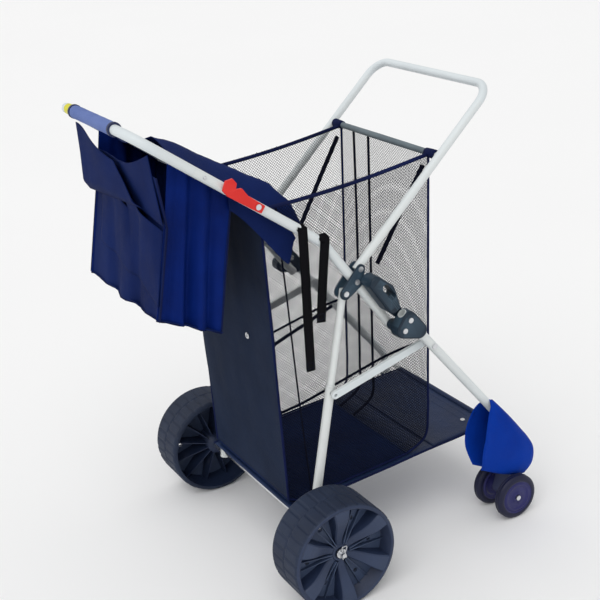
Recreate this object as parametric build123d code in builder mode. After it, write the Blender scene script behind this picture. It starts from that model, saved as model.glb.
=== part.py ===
"""Folding beach cart: steel tube frame, fabric basket, tote and shelf, two wide rear wheels
and two twin-wheel casters. Millimetres, +Z up, +X to the cart's right, +Y forwards.
Side positions are first given as (forwards of the rear axle, above the ground)."""

import os
from math import atan2, cos, degrees, hypot, radians, sin

from build123d import *

# Rear wheels
WHEEL_RADIUS = 114.3
WHEEL_WIDTH = 101.0
WHEEL_INNER_X = 234.0
DRUM_WALL = 10.0
WEB_X = 296.0
WEB_THICKNESS = 5.0
SPOKE_HEIGHT = 21.0
SPOKE_COUNT = 6
SPOKE_INNER_HALF = 10.0
SPOKE_OUTER_HALF = 17.0
HUB_RADIUS = 22.0
HUB_END_X = 312.0
HUB_START_X = 240.0
POCKET_HOLE_RADIUS = 5.0
POCKET_HOLE_DISTANCE = 71.0
AXLE_RADIUS = 4.75
AXLE_OVERHANG = 14.0
HUB_RECESS_RIM = 2.0
WASHER_RIM = 5.5
WASHER_START = 1.0
WASHER_LENGTH = 1.8
SPACER_RIM = 3.5
SPACER_GAP = 0.2
CLIP_DISTANCE = 6.5
CLIP_WIRE = 1.1
CLIP_HOLE_RADIUS = 1.3
CLIP_RISE = 16.0
CLIP_DROP = 12.0
CLIP_BEND_RADIUS = 2.6

# Frame tubes
FRAME_X = 200.0
HANDLE_TOP_X = 182.0
LOWER_X = 244.0
TUBE_RADIUS = 9.5
TUBE_WALL = 1.2
HOOP_RADIUS = 8.5
LEG_TOP_RADIUS = 7.5
SLEEVE_START = 192.0
ROD_RADIUS = 5.0
RIM_BAR_RADIUS = 6.0
BEND_RADIUS = 120.0
CORNER_RADIUS = 48.0
HOOP_CORNER_RADIUS = 42.0

# Handle in the side view
BEND_POINT = (83.0, 716.0)
LOWER_SLOPE = -56.55
UPPER_SLOPE = 141.3
UPPER_LENGTH = 432.0
HINGE_DISTANCE = 246.0
HANDLE_END = 258.0
SNAP_DISTANCE = 305.0
SPLICE_OVERLAP = 45.0
FOAM_RADIUS = 13.0
FOAM_LENGTH = 192.0
RING_RADIUS = 13.6
RING_LENGTH = 6.0
LABEL_LENGTH = 30.0
LABEL_THICKNESS = 0.8
SNAP_SETBACK = 22.0
SNAP_RADIUS = 3.0
SNAP_FLANGE_RADIUS = 4.5
SNAP_FLANGE = 1.5
SNAP_STAND = 2.5
SPLICE_GAP = 0.2
SPIGOT_SHARE = 1.8
RIM_BAR_DISTANCE = 134.0
HOOK_DISTANCE = 164.0

# Knuckle that joins handle, hoop and leg
KNUCKLE_DISTANCE = 114.0
LEG_PIVOT_OFFSET = -32.0
HOOP_PIVOT_DISTANCE = 100.0
HOOP_PIVOT_OFFSET = 22.0
PLATE_THICKNESS = 3.0
PLATE_GAP = 10.0
RIVET_RADIUS = 3.0
RIVET_HEAD_RADIUS = 5.5
RIVET_HEAD = 2.0

# Hoop
HOOP_SLOPE = 41.0
HOOP_LENGTH = 446.0
RIM_ROD_DISTANCE = 272.0

# Lower frame
LOWER_TUBE_POINT = (290.0, 453.5)
LOWER_TUBE_SLOPE = -53.2
HOUSING_RIVET_RISE = 94.8
LOWER_TUBE_TOP = 112.0
CASTER_AXIS_Y = 482.0
SOCKET_BOTTOM = 128.0
SOCKET_HEIGHT = 18.0
SOCKET_SEAT = 14.0
SOCKET_WALL = 4.0
LOWER_BEND_RADIUS = 60.0
FRONT_ROD_Z = 180.0

# Brace and leg
BRACE_X = 220.0
BRACE_THICKNESS = 8.0
BRACE_WIDTH = 16.0
BRACE_LEG_DISTANCE = 205.0

# Casters
CASTER_RADIUS = 50.8
CASTER_WIDTH = 22.0
CASTER_HALF_TRACK = 37.0
CASTER_TRAIL = 21.0
CASTER_AXLE_RADIUS = 4.0
CASTER_BODY_HALF = 22.0
STEM_RADIUS = 5.5
STEM_LENGTH = 37.6
SWIVEL_RADIUS = 14.5
SWIVEL_DROP = 12.0
SWIVEL_HEIGHT = 11.6
FORK_TOP_DROP = 22.0
FORK_TOP_RADIUS = 14.0
FORK_FOOT_RADIUS = 15.0
CASTER_DISC_RADIUS = 34.5
CASTER_BOSS_RADIUS = 12.2
CASTER_DISH = 3.0
CASTER_EDGE_RADIUS = 5.0

# Fabric
BASKET_HALF = 164.0
BASKET_REAR_RAKE = 8.0
BASKET_FRONT_RAKE = 36.0
PANEL = 3.0
SHELF_HALF = 178.0
SHELF_REAR_Y = -32.0
SHELF_REAR_Z = 158.0
SHELF_THICKNESS = 4.0
APRON_LIFT = 0.6
APRON_SETBACK = 4.0
TOTE_TOP_DISTANCE = 372.0
TOTE_WALL = 3.0
POUCH_INNER_X = 216.0
POUCH_OUTER_X = 286.0
POUCH_WALL = 2.0
STRAP_WIDTH = 20.0
STRAP_THICKNESS = 1.6
DRILL_REACH = 30.0

# Clearances
RUN_CLEARANCE = 0.05
SOFT_CLEARANCE = 0.4

# Fold latch
HOUSING_INNER_X = 233.0
HOUSING_OUTER_X = 259.0
HOUSING_RADIUS = 17.0
HINGE_BOSS_RADIUS = 11.5
HINGE_BOSS_X = 211.0
GRIP_INNER_X = 217.0
GRIP_LUG_X = 231.0
GRIP_OUTER_X = 251.0
GRIP_START = 46.0
GRIP_END = 112.0
GRIP_RADIUS = 15.0
FINGER_SLOT = (40.0, 15.0)

# Storage hook
HOOK_INNER_X = 0.8
HOOK_THICKNESS = 4.5
HOOK_OUTLINE = [
    (-12, 8), (-12, -8), (30, -9), (48, -15), (58, -8), (62, -18), (74, -22), (84, -12), (80, 6), (66, 10), (10, 9),
]

POUCH_OUTLINE = [(453, 263), (558, 123), (540, 52), (520, 62), (515, 124), (423, 124), (406, 200)]
POUCH_INSET = [(-40, 40), (-3.2, -0.5), (-4, 5), (4, 4), (4, 2.5), (-40, 2.5), (-40, 40)]
POUCH_HOLE_CLEARANCE = 2.5
TOTE_OUTLINE = [
    (-236, 950), (-238, 828), (-212, 812), (-256, 640), (-128, 577), (-92, 757), (-75, 842), (-205, 946),
]
TOTE_INSET = [(3, 60), (3, -1), (4, 0), (4, 2), (-2, 4), (-3, 0), (-3, 60), (0, 60)]
STRAP_DISTANCES = [60.0, 0.0]
STRAPS = [((40.0, 752.0), (29.0, 466.0)), ((84.0, 722.0), (60.0, 562.0))]


def travel(start, slope, distance, offset=0.0):
    """Side-view point at a distance along a sloped line, offset to the line's left."""
    angle = radians(slope)
    return (
        start[0] + distance * cos(angle) - offset * sin(angle),
        start[1] + distance * sin(angle) + offset * cos(angle),
    )


HANDLE_TOP = travel(BEND_POINT, UPPER_SLOPE, UPPER_LENGTH)
FRONT_EDGE = max(point[0] for point in POUCH_OUTLINE)
Y_MIDDLE = (FRONT_EDGE + HANDLE_TOP[0] - RING_RADIUS) / 2


def place(x, side_point):
    """Row-frame point from a lateral position and a side-view point."""
    return (x, side_point[0] - Y_MIDDLE, side_point[1])


def slope_between(start, end):
    return degrees(atan2(end[1] - start[1], end[0] - start[0]))


def distance_between(start, end):
    return hypot(end[0] - start[0], end[1] - start[1])


AXLE_POINT = (0.0, WHEEL_RADIUS)
HINGE_POINT = travel(BEND_POINT, LOWER_SLOPE, HINGE_DISTANCE)
KNUCKLE_POINT = travel(BEND_POINT, LOWER_SLOPE, KNUCKLE_DISTANCE)
LEG_PIVOT = travel(BEND_POINT, LOWER_SLOPE, KNUCKLE_DISTANCE, LEG_PIVOT_OFFSET)
HOOP_PIVOT = travel(BEND_POINT, LOWER_SLOPE, HOOP_PIVOT_DISTANCE, HOOP_PIVOT_OFFSET)
LEG_SLOPE = slope_between(LEG_PIVOT, AXLE_POINT)
LEG_LENGTH = distance_between(LEG_PIVOT, AXLE_POINT)
BRACE_REAR = travel(LEG_PIVOT, LEG_SLOPE, BRACE_LEG_DISTANCE)
BRACE_FRONT = LOWER_TUBE_POINT
HOUSING_RIVET = travel(LOWER_TUBE_POINT, LOWER_TUBE_SLOPE, -HOUSING_RIVET_RISE)
LOWER_TOP = travel(LOWER_TUBE_POINT, LOWER_TUBE_SLOPE, -LOWER_TUBE_TOP)
CASTER_AXLE = (CASTER_AXIS_Y - CASTER_TRAIL, CASTER_RADIUS)
RIM_ROD = travel(HOOP_PIVOT, HOOP_SLOPE, RIM_ROD_DISTANCE)
RIM_BAR = travel(BEND_POINT, UPPER_SLOPE, RIM_BAR_DISTANCE)


def handle_x(distance):
    """Half-width of the handle frame at a distance above the bend."""
    return FRAME_X + (HANDLE_TOP_X - FRAME_X) * distance / UPPER_LENGTH


def upper_point(side, distance):
    return place(side * handle_x(distance), travel(BEND_POINT, UPPER_SLOPE, distance))


def side_plane(x):
    """Plane whose X runs forwards, Y upwards and normal to the cart's left."""
    return Plane(origin=(x, -Y_MIDDLE, 0), x_dir=(0, 1, 0), z_dir=(1, 0, 0))


def save(builder, name):
    builder.part.label = name
    export_step(builder.part, f"parts/{name}.step")


def save_left(builder, name):
    """Left piece, mirrored across the cart's middle plane from the right one."""
    left = mirror(builder.part, about=Plane.YZ)
    left.label = f"{name}_left"
    export_step(left, f"parts/{name}_left.step")


def save_pair(builder, name):
    save(builder, f"{name}_right")
    save_left(builder, name)


def tube(points, bend_radius, outer, inner=0.0):
    """Round tube or rod swept along straight runs with rounded corners."""
    with BuildPart() as piece:
        with BuildLine() as path:
            if len(points) == 2:
                Line(*points)
            else:
                FilletPolyline(*points, radius=bend_radius)
        with BuildSketch(Plane(origin=path.line @ 0, z_dir=path.line % 0)):
            Circle(outer)
            if inner > 0:
                Circle(inner, mode=Mode.SUBTRACT)
        sweep(path=path.line)
    return piece


def drill(builder, points, x, shaft_radius, both=True):
    """Cut running-fit holes along X through a tube at x, or through its right wall only."""
    with BuildPart() as piece:
        add(builder.part)
        with BuildSketch(side_plane(x)):
            with Locations(*points):
                Circle(shaft_radius + RUN_CLEARANCE)
        extrude(amount=DRILL_REACH, both=both, mode=Mode.SUBTRACT)
    return piece


def rivet(point, start_x, end_x, radius=RIVET_RADIUS, head=RIVET_HEAD):
    """Shank between two X positions with a domed head past each end."""
    with BuildPart() as piece:
        with BuildSketch(side_plane(start_x)):
            with Locations(point):
                Circle(radius)
        extrude(amount=end_x - start_x)
        for x, length in ((end_x, head), (start_x, -head)):
            with BuildSketch(side_plane(x)):
                with Locations(point):
                    Circle(RIVET_HEAD_RADIUS)
            extrude(amount=length)
    return piece


def slab(outline, start_x, end_x, rounding=0.0):
    """Prism across X from a side-view outline."""
    with BuildPart() as piece:
        with BuildSketch(side_plane(start_x)) as sketch:
            with BuildLine():
                Polyline(*outline, close=True)
            make_face()
            if rounding > 0:
                fillet(sketch.vertices(), radius=rounding)
        extrude(amount=end_x - start_x)
    return piece


def group(builders):
    """Several separate solids as one node."""
    return Compound(children=[b.part if hasattr(b, "part") else b for b in builders])


def save_group(builders, name):
    whole = group(builders)
    whole.label = name
    export_step(whole, f"parts/{name}.step")


def both_sides(builders):
    """The given right-hand pieces and their left-hand mirror copies."""
    parts = [builder.part for builder in builders]
    return parts + [mirror(part, about=Plane.YZ) for part in parts]


os.makedirs("parts", exist_ok=True)

# ---------------------------------------------------------------- lower frame
lower_path = [
    place(LOWER_X, LOWER_TOP),
    place(LOWER_X, travel(LOWER_TUBE_POINT, LOWER_TUBE_SLOPE,
                          (CASTER_AXIS_Y - LOWER_TUBE_POINT[0]) / cos(radians(LOWER_TUBE_SLOPE)))),
    place(LOWER_X, (CASTER_AXIS_Y, SOCKET_BOTTOM + SOCKET_SEAT)),
]
lower_tube = tube(lower_path, LOWER_BEND_RADIUS, TUBE_RADIUS, TUBE_RADIUS - TUBE_WALL)
lower_holes = [HOUSING_RIVET, BRACE_FRONT]
lower_tube = drill(lower_tube, lower_holes, LOWER_X, RIVET_RADIUS)
save_pair(lower_tube, "lower_tube")

with BuildPart() as caster_socket:
    with BuildSketch(Plane(origin=place(LOWER_X, (CASTER_AXIS_Y, SOCKET_BOTTOM)))):
        Circle(TUBE_RADIUS + SOCKET_WALL)
    extrude(amount=SOCKET_HEIGHT)
    with BuildSketch(Plane(origin=place(LOWER_X, (CASTER_AXIS_Y, SOCKET_BOTTOM + SOCKET_SEAT)))):
        Circle(TUBE_RADIUS + RUN_CLEARANCE)
    extrude(amount=SOCKET_HEIGHT, mode=Mode.SUBTRACT)
    with BuildSketch(Plane(origin=place(LOWER_X, (CASTER_AXIS_Y, SOCKET_BOTTOM)))):
        Circle(STEM_RADIUS + RUN_CLEARANCE)
    extrude(amount=SOCKET_HEIGHT, mode=Mode.SUBTRACT)
save_pair(caster_socket, "caster_socket")

# Housing that clasps the lower tube, with a boss reaching in to the fold hinge
housing_foot = travel(LOWER_TUBE_POINT, LOWER_TUBE_SLOPE, -58.0)
with BuildPart() as latch_housing:
    with BuildSketch(side_plane(HOUSING_INNER_X)):
        with Locations(HINGE_POINT, HOUSING_RIVET, housing_foot):
            Circle(HOUSING_RADIUS)
        make_hull()
    extrude(amount=HOUSING_OUTER_X - HOUSING_INNER_X)
    fillet(latch_housing.faces().sort_by(Axis.X)[-1].edges(), radius=4.0)
    with BuildSketch(side_plane(HINGE_BOSS_X)):
        with Locations(HINGE_POINT):
            Circle(HINGE_BOSS_RADIUS)
    extrude(amount=HOUSING_INNER_X - HINGE_BOSS_X)
    lower_axis = (0, cos(radians(LOWER_TUBE_SLOPE)), sin(radians(LOWER_TUBE_SLOPE)))
    with BuildSketch(Plane(origin=place(LOWER_X, LOWER_TOP), z_dir=lower_axis)):
        Circle(TUBE_RADIUS + RUN_CLEARANCE)
    extrude(amount=200, both=True, mode=Mode.SUBTRACT)
    rivet_holes = [HINGE_POINT, HOUSING_RIVET]
    with BuildSketch(side_plane(HINGE_BOSS_X - 1)):
        with Locations(*rivet_holes):
            Circle(RIVET_RADIUS + RUN_CLEARANCE)
    extrude(amount=HOUSING_OUTER_X - HINGE_BOSS_X + 2, mode=Mode.SUBTRACT)
save_pair(latch_housing, "latch_housing")

hinge_rivet = rivet(HINGE_POINT, FRAME_X - TUBE_RADIUS - 0.3, HOUSING_OUTER_X)
housing_rivet = rivet(HOUSING_RIVET, GRIP_INNER_X - 0.3, HOUSING_OUTER_X)
save_group(both_sides([hinge_rivet, housing_rivet]), "latch_rivets")

# Finger grip of the fold latch, turning on the housing's upper rivet
grip_slope = LOWER_SLOPE + 180
grip_base = travel(HOUSING_RIVET, grip_slope, GRIP_START, 6.0)
grip_tip = travel(HOUSING_RIVET, grip_slope, GRIP_END, 4.0)
grip_belly = travel(HOUSING_RIVET, grip_slope, (GRIP_START + GRIP_END) / 2, -5.0)
with BuildPart() as latch_grip:
    with BuildSketch(side_plane(GRIP_INNER_X)):
        with Locations(HOUSING_RIVET):
            Circle(9.0)
        with Locations(grip_base):
            Circle(GRIP_RADIUS - 2)
        make_hull()
    extrude(amount=GRIP_LUG_X - GRIP_INNER_X)
    with BuildSketch(side_plane(GRIP_INNER_X)):
        with Locations(grip_base, grip_tip, grip_belly):
            Circle(GRIP_RADIUS)
        make_hull()
    extrude(amount=GRIP_OUTER_X - GRIP_INNER_X)
    fillet(latch_grip.faces().sort_by(Axis.X)[-1].edges(), radius=5.0)
    with BuildSketch(side_plane(GRIP_INNER_X - 1)):
        with Locations(Location(grip_belly, grip_slope)):
            SlotOverall(*FINGER_SLOT)
        with Locations(HOUSING_RIVET):
            Circle(RIVET_RADIUS + RUN_CLEARANCE)
    extrude(amount=GRIP_OUTER_X - GRIP_INNER_X + 2, mode=Mode.SUBTRACT)
save_pair(latch_grip, "latch_grip")

front_rod_point = (CASTER_AXIS_Y, FRONT_ROD_Z)
front_rod_reach = LOWER_X - TUBE_RADIUS - RUN_CLEARANCE
front_cross_rod = tube([place(-front_rod_reach, front_rod_point), place(front_rod_reach, front_rod_point)],
                       0, ROD_RADIUS)
save(front_cross_rod, "front_cross_rod")

# ---------------------------------------------------------------- handle frame
handle_hole_points = [HINGE_POINT, KNUCKLE_POINT]
hook_pivot = travel(BEND_POINT, UPPER_SLOPE, HOOK_DISTANCE)
snap_distance = SNAP_DISTANCE - SNAP_SETBACK
snap_x = handle_x(snap_distance)
snap_point = travel(BEND_POINT, UPPER_SLOPE, snap_distance)
with BuildPart() as handle_side:
    with BuildLine() as path:
        FilletPolyline(
            place(FRAME_X, travel(BEND_POINT, LOWER_SLOPE, HANDLE_END)),
            place(FRAME_X, BEND_POINT),
            upper_point(1, SNAP_DISTANCE),
            radius=BEND_RADIUS,
        )
    with BuildSketch(Plane(origin=path.line @ 0, z_dir=path.line % 0)):
        Circle(TUBE_RADIUS)
        Circle(TUBE_RADIUS - TUBE_WALL, mode=Mode.SUBTRACT)
    sweep(path=path.line)
    with BuildSketch(side_plane(FRAME_X - 20)):
        with Locations(*handle_hole_points):
            Circle(RIVET_RADIUS + RUN_CLEARANCE)
    extrude(amount=40, mode=Mode.SUBTRACT)
handle_side = drill(handle_side, [snap_point], snap_x, SNAP_RADIUS, both=False)
save_left(handle_side, "handle_side")
handle_side_right = drill(handle_side, [hook_pivot], FRAME_X, RIVET_RADIUS)
save(handle_side_right, "handle_side_right")

# Upper bow with the grip, its ends pushed into the side tubes and held by a snap button
bow_path = [
    upper_point(1, SNAP_DISTANCE + SPLICE_GAP),
    upper_point(1, UPPER_LENGTH),
    upper_point(-1, UPPER_LENGTH),
    upper_point(-1, SNAP_DISTANCE + SPLICE_GAP),
]
handle_bow = tube(bow_path, CORNER_RADIUS, TUBE_RADIUS, TUBE_RADIUS - TUBE_WALL)
save(handle_bow, "handle_bow")

# Spigot inside the splice, with the hole for the snap button's spring
splice_plane = Plane(
    origin=upper_point(1, SNAP_DISTANCE - SPLICE_OVERLAP),
    z_dir=tuple(b - a for a, b in zip(upper_point(1, 0), upper_point(1, UPPER_LENGTH))),
)
with BuildPart() as splice_spigot:
    with BuildSketch(splice_plane):
        Circle(TUBE_RADIUS - TUBE_WALL - RUN_CLEARANCE)
        Circle(TUBE_RADIUS - 2 * TUBE_WALL, mode=Mode.SUBTRACT)
    extrude(amount=SPLICE_OVERLAP * SPIGOT_SHARE)
splice_spigot = drill(splice_spigot, [snap_point], snap_x, SNAP_RADIUS, both=False)
save_group(both_sides([splice_spigot]), "splice_spigots")

grip_start = place(FOAM_LENGTH / 2, HANDLE_TOP)
grip_end = place(-FOAM_LENGTH / 2, HANDLE_TOP)
foam_grip = tube([grip_start, grip_end], 0, FOAM_RADIUS, TUBE_RADIUS + RUN_CLEARANCE)
save(foam_grip, "foam_grip")

ring_end = place(FOAM_LENGTH / 2 + RING_LENGTH, HANDLE_TOP)
grip_ring = tube([ring_end, grip_start], 0, RING_RADIUS, TUBE_RADIUS + RUN_CLEARANCE)
save_group(both_sides([grip_ring]), "grip_rings")

label_start = -(FOAM_LENGTH / 2 + RING_LENGTH)
label_sleeve = tube([place(label_start, HANDLE_TOP), place(label_start - LABEL_LENGTH, HANDLE_TOP)],
                    0, TUBE_RADIUS + LABEL_THICKNESS, TUBE_RADIUS + RUN_CLEARANCE)
save(label_sleeve, "label_sleeve")

# Round bar between the side tubes that carries the basket's rear rim
rim_bar_reach = handle_x(RIM_BAR_DISTANCE + RIM_BAR_RADIUS) - TUBE_RADIUS - 2 * RUN_CLEARANCE
rear_rim_bar = tube([place(-rim_bar_reach, RIM_BAR), place(rim_bar_reach, RIM_BAR)], 0, RIM_BAR_RADIUS)
save(rear_rim_bar, "rear_rim_bar")

plate_points = [(KNUCKLE_POINT, 14.0), (LEG_PIVOT, 12.5), (HOOP_PIVOT, 10.0)]
plate_holes = [point for point, _ in plate_points]
with BuildPart() as knuckle_plate:
    with BuildSketch(side_plane(FRAME_X + PLATE_GAP)):
        for point, radius in plate_points:
            with Locations(point):
                Circle(radius)
        make_hull()
    extrude(amount=PLATE_THICKNESS)
    fillet(knuckle_plate.faces().sort_by(Axis.X)[-1].edges(), radius=1.2)
    with BuildSketch(side_plane(FRAME_X)):
        with Locations(*plate_holes):
            Circle(RIVET_RADIUS + RUN_CLEARANCE)
    extrude(amount=2 * PLATE_GAP, mode=Mode.SUBTRACT)
inner_plate = mirror(knuckle_plate.part, about=Plane(origin=(FRAME_X, 0, 0), z_dir=(1, 0, 0)))
for side, sign in (("right", 1), ("left", -1)):
    plates = [knuckle_plate.part, inner_plate]
    if sign < 0:
        plates = [mirror(plate, about=Plane.YZ) for plate in plates]
    save_group(plates, f"knuckle_plates_{side}")

plate_outer = PLATE_GAP + PLATE_THICKNESS
knuckle_rivets = [rivet(point, FRAME_X - plate_outer, FRAME_X + plate_outer)
                  for point in (KNUCKLE_POINT, LEG_PIVOT)]
hoop_pin = rivet(HOOP_PIVOT, FRAME_X - plate_outer, FRAME_X + plate_outer, head=0.8)
save_group(both_sides(knuckle_rivets + [hoop_pin]), "knuckle_rivets")

# Snap button: round nose through the outer wall of the side tube
with BuildPart() as snap_button:
    with BuildSketch(side_plane(snap_x + SNAP_RADIUS)):
        with Locations(snap_point):
            Circle(SNAP_RADIUS)
    extrude(amount=TUBE_RADIUS - SNAP_RADIUS + SNAP_STAND)
    fillet(snap_button.faces().sort_by(Axis.X)[-1].edges(), radius=TUBE_WALL)
    with BuildSketch(side_plane(snap_x + 2.0)):
        with Locations(snap_point):
            Circle(SNAP_FLANGE_RADIUS)
    extrude(amount=SNAP_FLANGE)
save_pair(snap_button, "snap_button")

# Storage hook on the right side tube
hook_face = handle_x(HOOK_DISTANCE) + TUBE_RADIUS + HOOK_INNER_X
hook_outline = [
    travel(hook_pivot, UPPER_SLOPE, along, across)
    for along, across in HOOK_OUTLINE
]
with BuildPart() as hook_lever:
    with BuildSketch(side_plane(hook_face)) as hook_sketch:
        with BuildLine():
            Polyline(*hook_outline, close=True)
        make_face()
        fillet(hook_sketch.vertices(), radius=2.0)
        with Locations(hook_pivot):
            Circle(RIVET_RADIUS + RUN_CLEARANCE, mode=Mode.SUBTRACT)
    extrude(amount=HOOK_THICKNESS)
save(hook_lever, "hook_lever")
hook_rivet = rivet(hook_pivot, handle_x(HOOK_DISTANCE) - TUBE_RADIUS - 0.5, hook_face + HOOK_THICKNESS + 0.1)
save(hook_rivet, "hook_rivet")

# ---------------------------------------------------------------- hoop
hoop_corner = travel(HOOP_PIVOT, HOOP_SLOPE, HOOP_LENGTH)
hoop_start = travel(HOOP_PIVOT, HOOP_SLOPE, -5.0)
hoop_path = [
    place(FRAME_X, hoop_start),
    place(FRAME_X, hoop_corner),
    place(-FRAME_X, hoop_corner),
    place(-FRAME_X, hoop_start),
]
hoop = tube(hoop_path, HOOP_CORNER_RADIUS, HOOP_RADIUS, HOOP_RADIUS - TUBE_WALL)
for hoop_x in (-FRAME_X, FRAME_X):
    hoop = drill(hoop, [HOOP_PIVOT], hoop_x, RIVET_RADIUS)
save(hoop, "hoop")

rim_rod_reach = FRAME_X - HOOP_RADIUS - RUN_CLEARANCE
front_rim_rod = tube([place(-rim_rod_reach, RIM_ROD), place(rim_rod_reach, RIM_ROD)], 0, ROD_RADIUS)
save(front_rim_rod, "front_rim_rod")

# ---------------------------------------------------------------- rear legs and axle
leg_tube_ends = [
    place(FRAME_X, travel(LEG_PIVOT, LEG_SLOPE, -7.0)),
    place(FRAME_X, travel(LEG_PIVOT, LEG_SLOPE, SLEEVE_START + 50)),
]
rear_leg = tube(leg_tube_ends, 0, LEG_TOP_RADIUS, LEG_TOP_RADIUS - TUBE_WALL)
rear_leg = drill(rear_leg, [LEG_PIVOT, BRACE_REAR], FRAME_X, RIVET_RADIUS)
save_pair(rear_leg, "rear_leg_upper")

sleeve_ends = [
    place(FRAME_X, travel(LEG_PIVOT, LEG_SLOPE, SLEEVE_START)),
    place(FRAME_X, travel(LEG_PIVOT, LEG_SLOPE, LEG_LENGTH + 12.0)),
]
leg_sleeve = tube(sleeve_ends, 0, TUBE_RADIUS, LEG_TOP_RADIUS + RUN_CLEARANCE)
leg_sleeve = drill(leg_sleeve, [BRACE_REAR], FRAME_X, RIVET_RADIUS)
leg_sleeve = drill(leg_sleeve, [AXLE_POINT], FRAME_X, AXLE_RADIUS)
save_pair(leg_sleeve, "rear_leg_lower")

brace_stub = rivet(BRACE_REAR, FRAME_X - TUBE_RADIUS - 0.3, FRAME_X + TUBE_RADIUS + 0.3)
save_group(both_sides([brace_stub]), "leg_rivets")

axle_end_x = HUB_END_X + AXLE_OVERHANG
axle = tube([place(-axle_end_x, AXLE_POINT), place(axle_end_x, AXLE_POINT)], 0, AXLE_RADIUS)
clip_x = HUB_END_X + CLIP_DISTANCE
with BuildPart() as axle_drilled:
    add(axle.part)
    for sign in (1, -1):
        with BuildSketch():
            with Locations((sign * clip_x, -Y_MIDDLE)):
                Circle(CLIP_HOLE_RADIUS)
        extrude(amount=2 * WHEEL_RADIUS, mode=Mode.SUBTRACT)
save(axle_drilled, "axle")

washer_x = HUB_END_X + WASHER_START
washer = tube([place(washer_x, AXLE_POINT), place(washer_x + WASHER_LENGTH, AXLE_POINT)], 0,
              AXLE_RADIUS + WASHER_RIM, AXLE_RADIUS + RUN_CLEARANCE)
spacer_ends = (FRAME_X + TUBE_RADIUS + SPACER_GAP, HUB_START_X - 2 * SPACER_GAP)
spacer = tube([place(x, AXLE_POINT) for x in spacer_ends], 0,
              AXLE_RADIUS + SPACER_RIM, AXLE_RADIUS + RUN_CLEARANCE)
save_group(both_sides([washer, spacer]), "axle_washers")

# Spring clip: straight leg through the axle, second leg bowed around it
clip_top = WHEEL_RADIUS + CLIP_RISE
clip_low = WHEEL_RADIUS - CLIP_DROP
clip_bow = AXLE_RADIUS + CLIP_WIRE + SOFT_CLEARANCE
clip_points = [
    (clip_x, -Y_MIDDLE, clip_low),
    (clip_x, -Y_MIDDLE, clip_top),
    (clip_x, -Y_MIDDLE + 2 * clip_bow, clip_top),
    (clip_x, -Y_MIDDLE + clip_bow, WHEEL_RADIUS + 2),
    (clip_x, -Y_MIDDLE + clip_bow + 2, clip_low + 2),
]
axle_clip = tube(clip_points, CLIP_BEND_RADIUS, CLIP_WIRE)
save_group(both_sides([axle_clip]), "axle_clips")

# ---------------------------------------------------------------- braces
with BuildPart() as brace:
    middle = ((BRACE_REAR[0] + BRACE_FRONT[0]) / 2, (BRACE_REAR[1] + BRACE_FRONT[1]) / 2)
    brace_length = distance_between(BRACE_REAR, BRACE_FRONT)
    brace_slope = slope_between(BRACE_REAR, BRACE_FRONT)
    with BuildSketch(side_plane(BRACE_X - BRACE_THICKNESS / 2)):
        with Locations(Location(middle, brace_slope)):
            SlotCenterToCenter(brace_length, BRACE_WIDTH)
        with Locations(BRACE_REAR, BRACE_FRONT):
            Circle(RIVET_RADIUS + RUN_CLEARANCE, mode=Mode.SUBTRACT)
    extrude(amount=BRACE_THICKNESS)
    fillet(brace.faces().sort_by(Axis.X)[-1].edges(), radius=1.5)
save_pair(brace, "side_brace")

brace_rivet = rivet(BRACE_FRONT, BRACE_X - BRACE_THICKNESS / 2 - 0.2, LOWER_X + TUBE_RADIUS + 0.2)
with BuildPart() as brace_washer:
    with BuildSketch(side_plane(BRACE_X + BRACE_THICKNESS / 2 + 0.3)):
        with Locations(BRACE_FRONT):
            Circle(RIVET_RADIUS + 4)
            Circle(RIVET_RADIUS + RUN_CLEARANCE, mode=Mode.SUBTRACT)
    extrude(amount=LOWER_X - TUBE_RADIUS - BRACE_X - BRACE_THICKNESS / 2 - 0.4)
save_group(both_sides([brace_rivet, brace_washer]), "brace_rivets")

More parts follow.
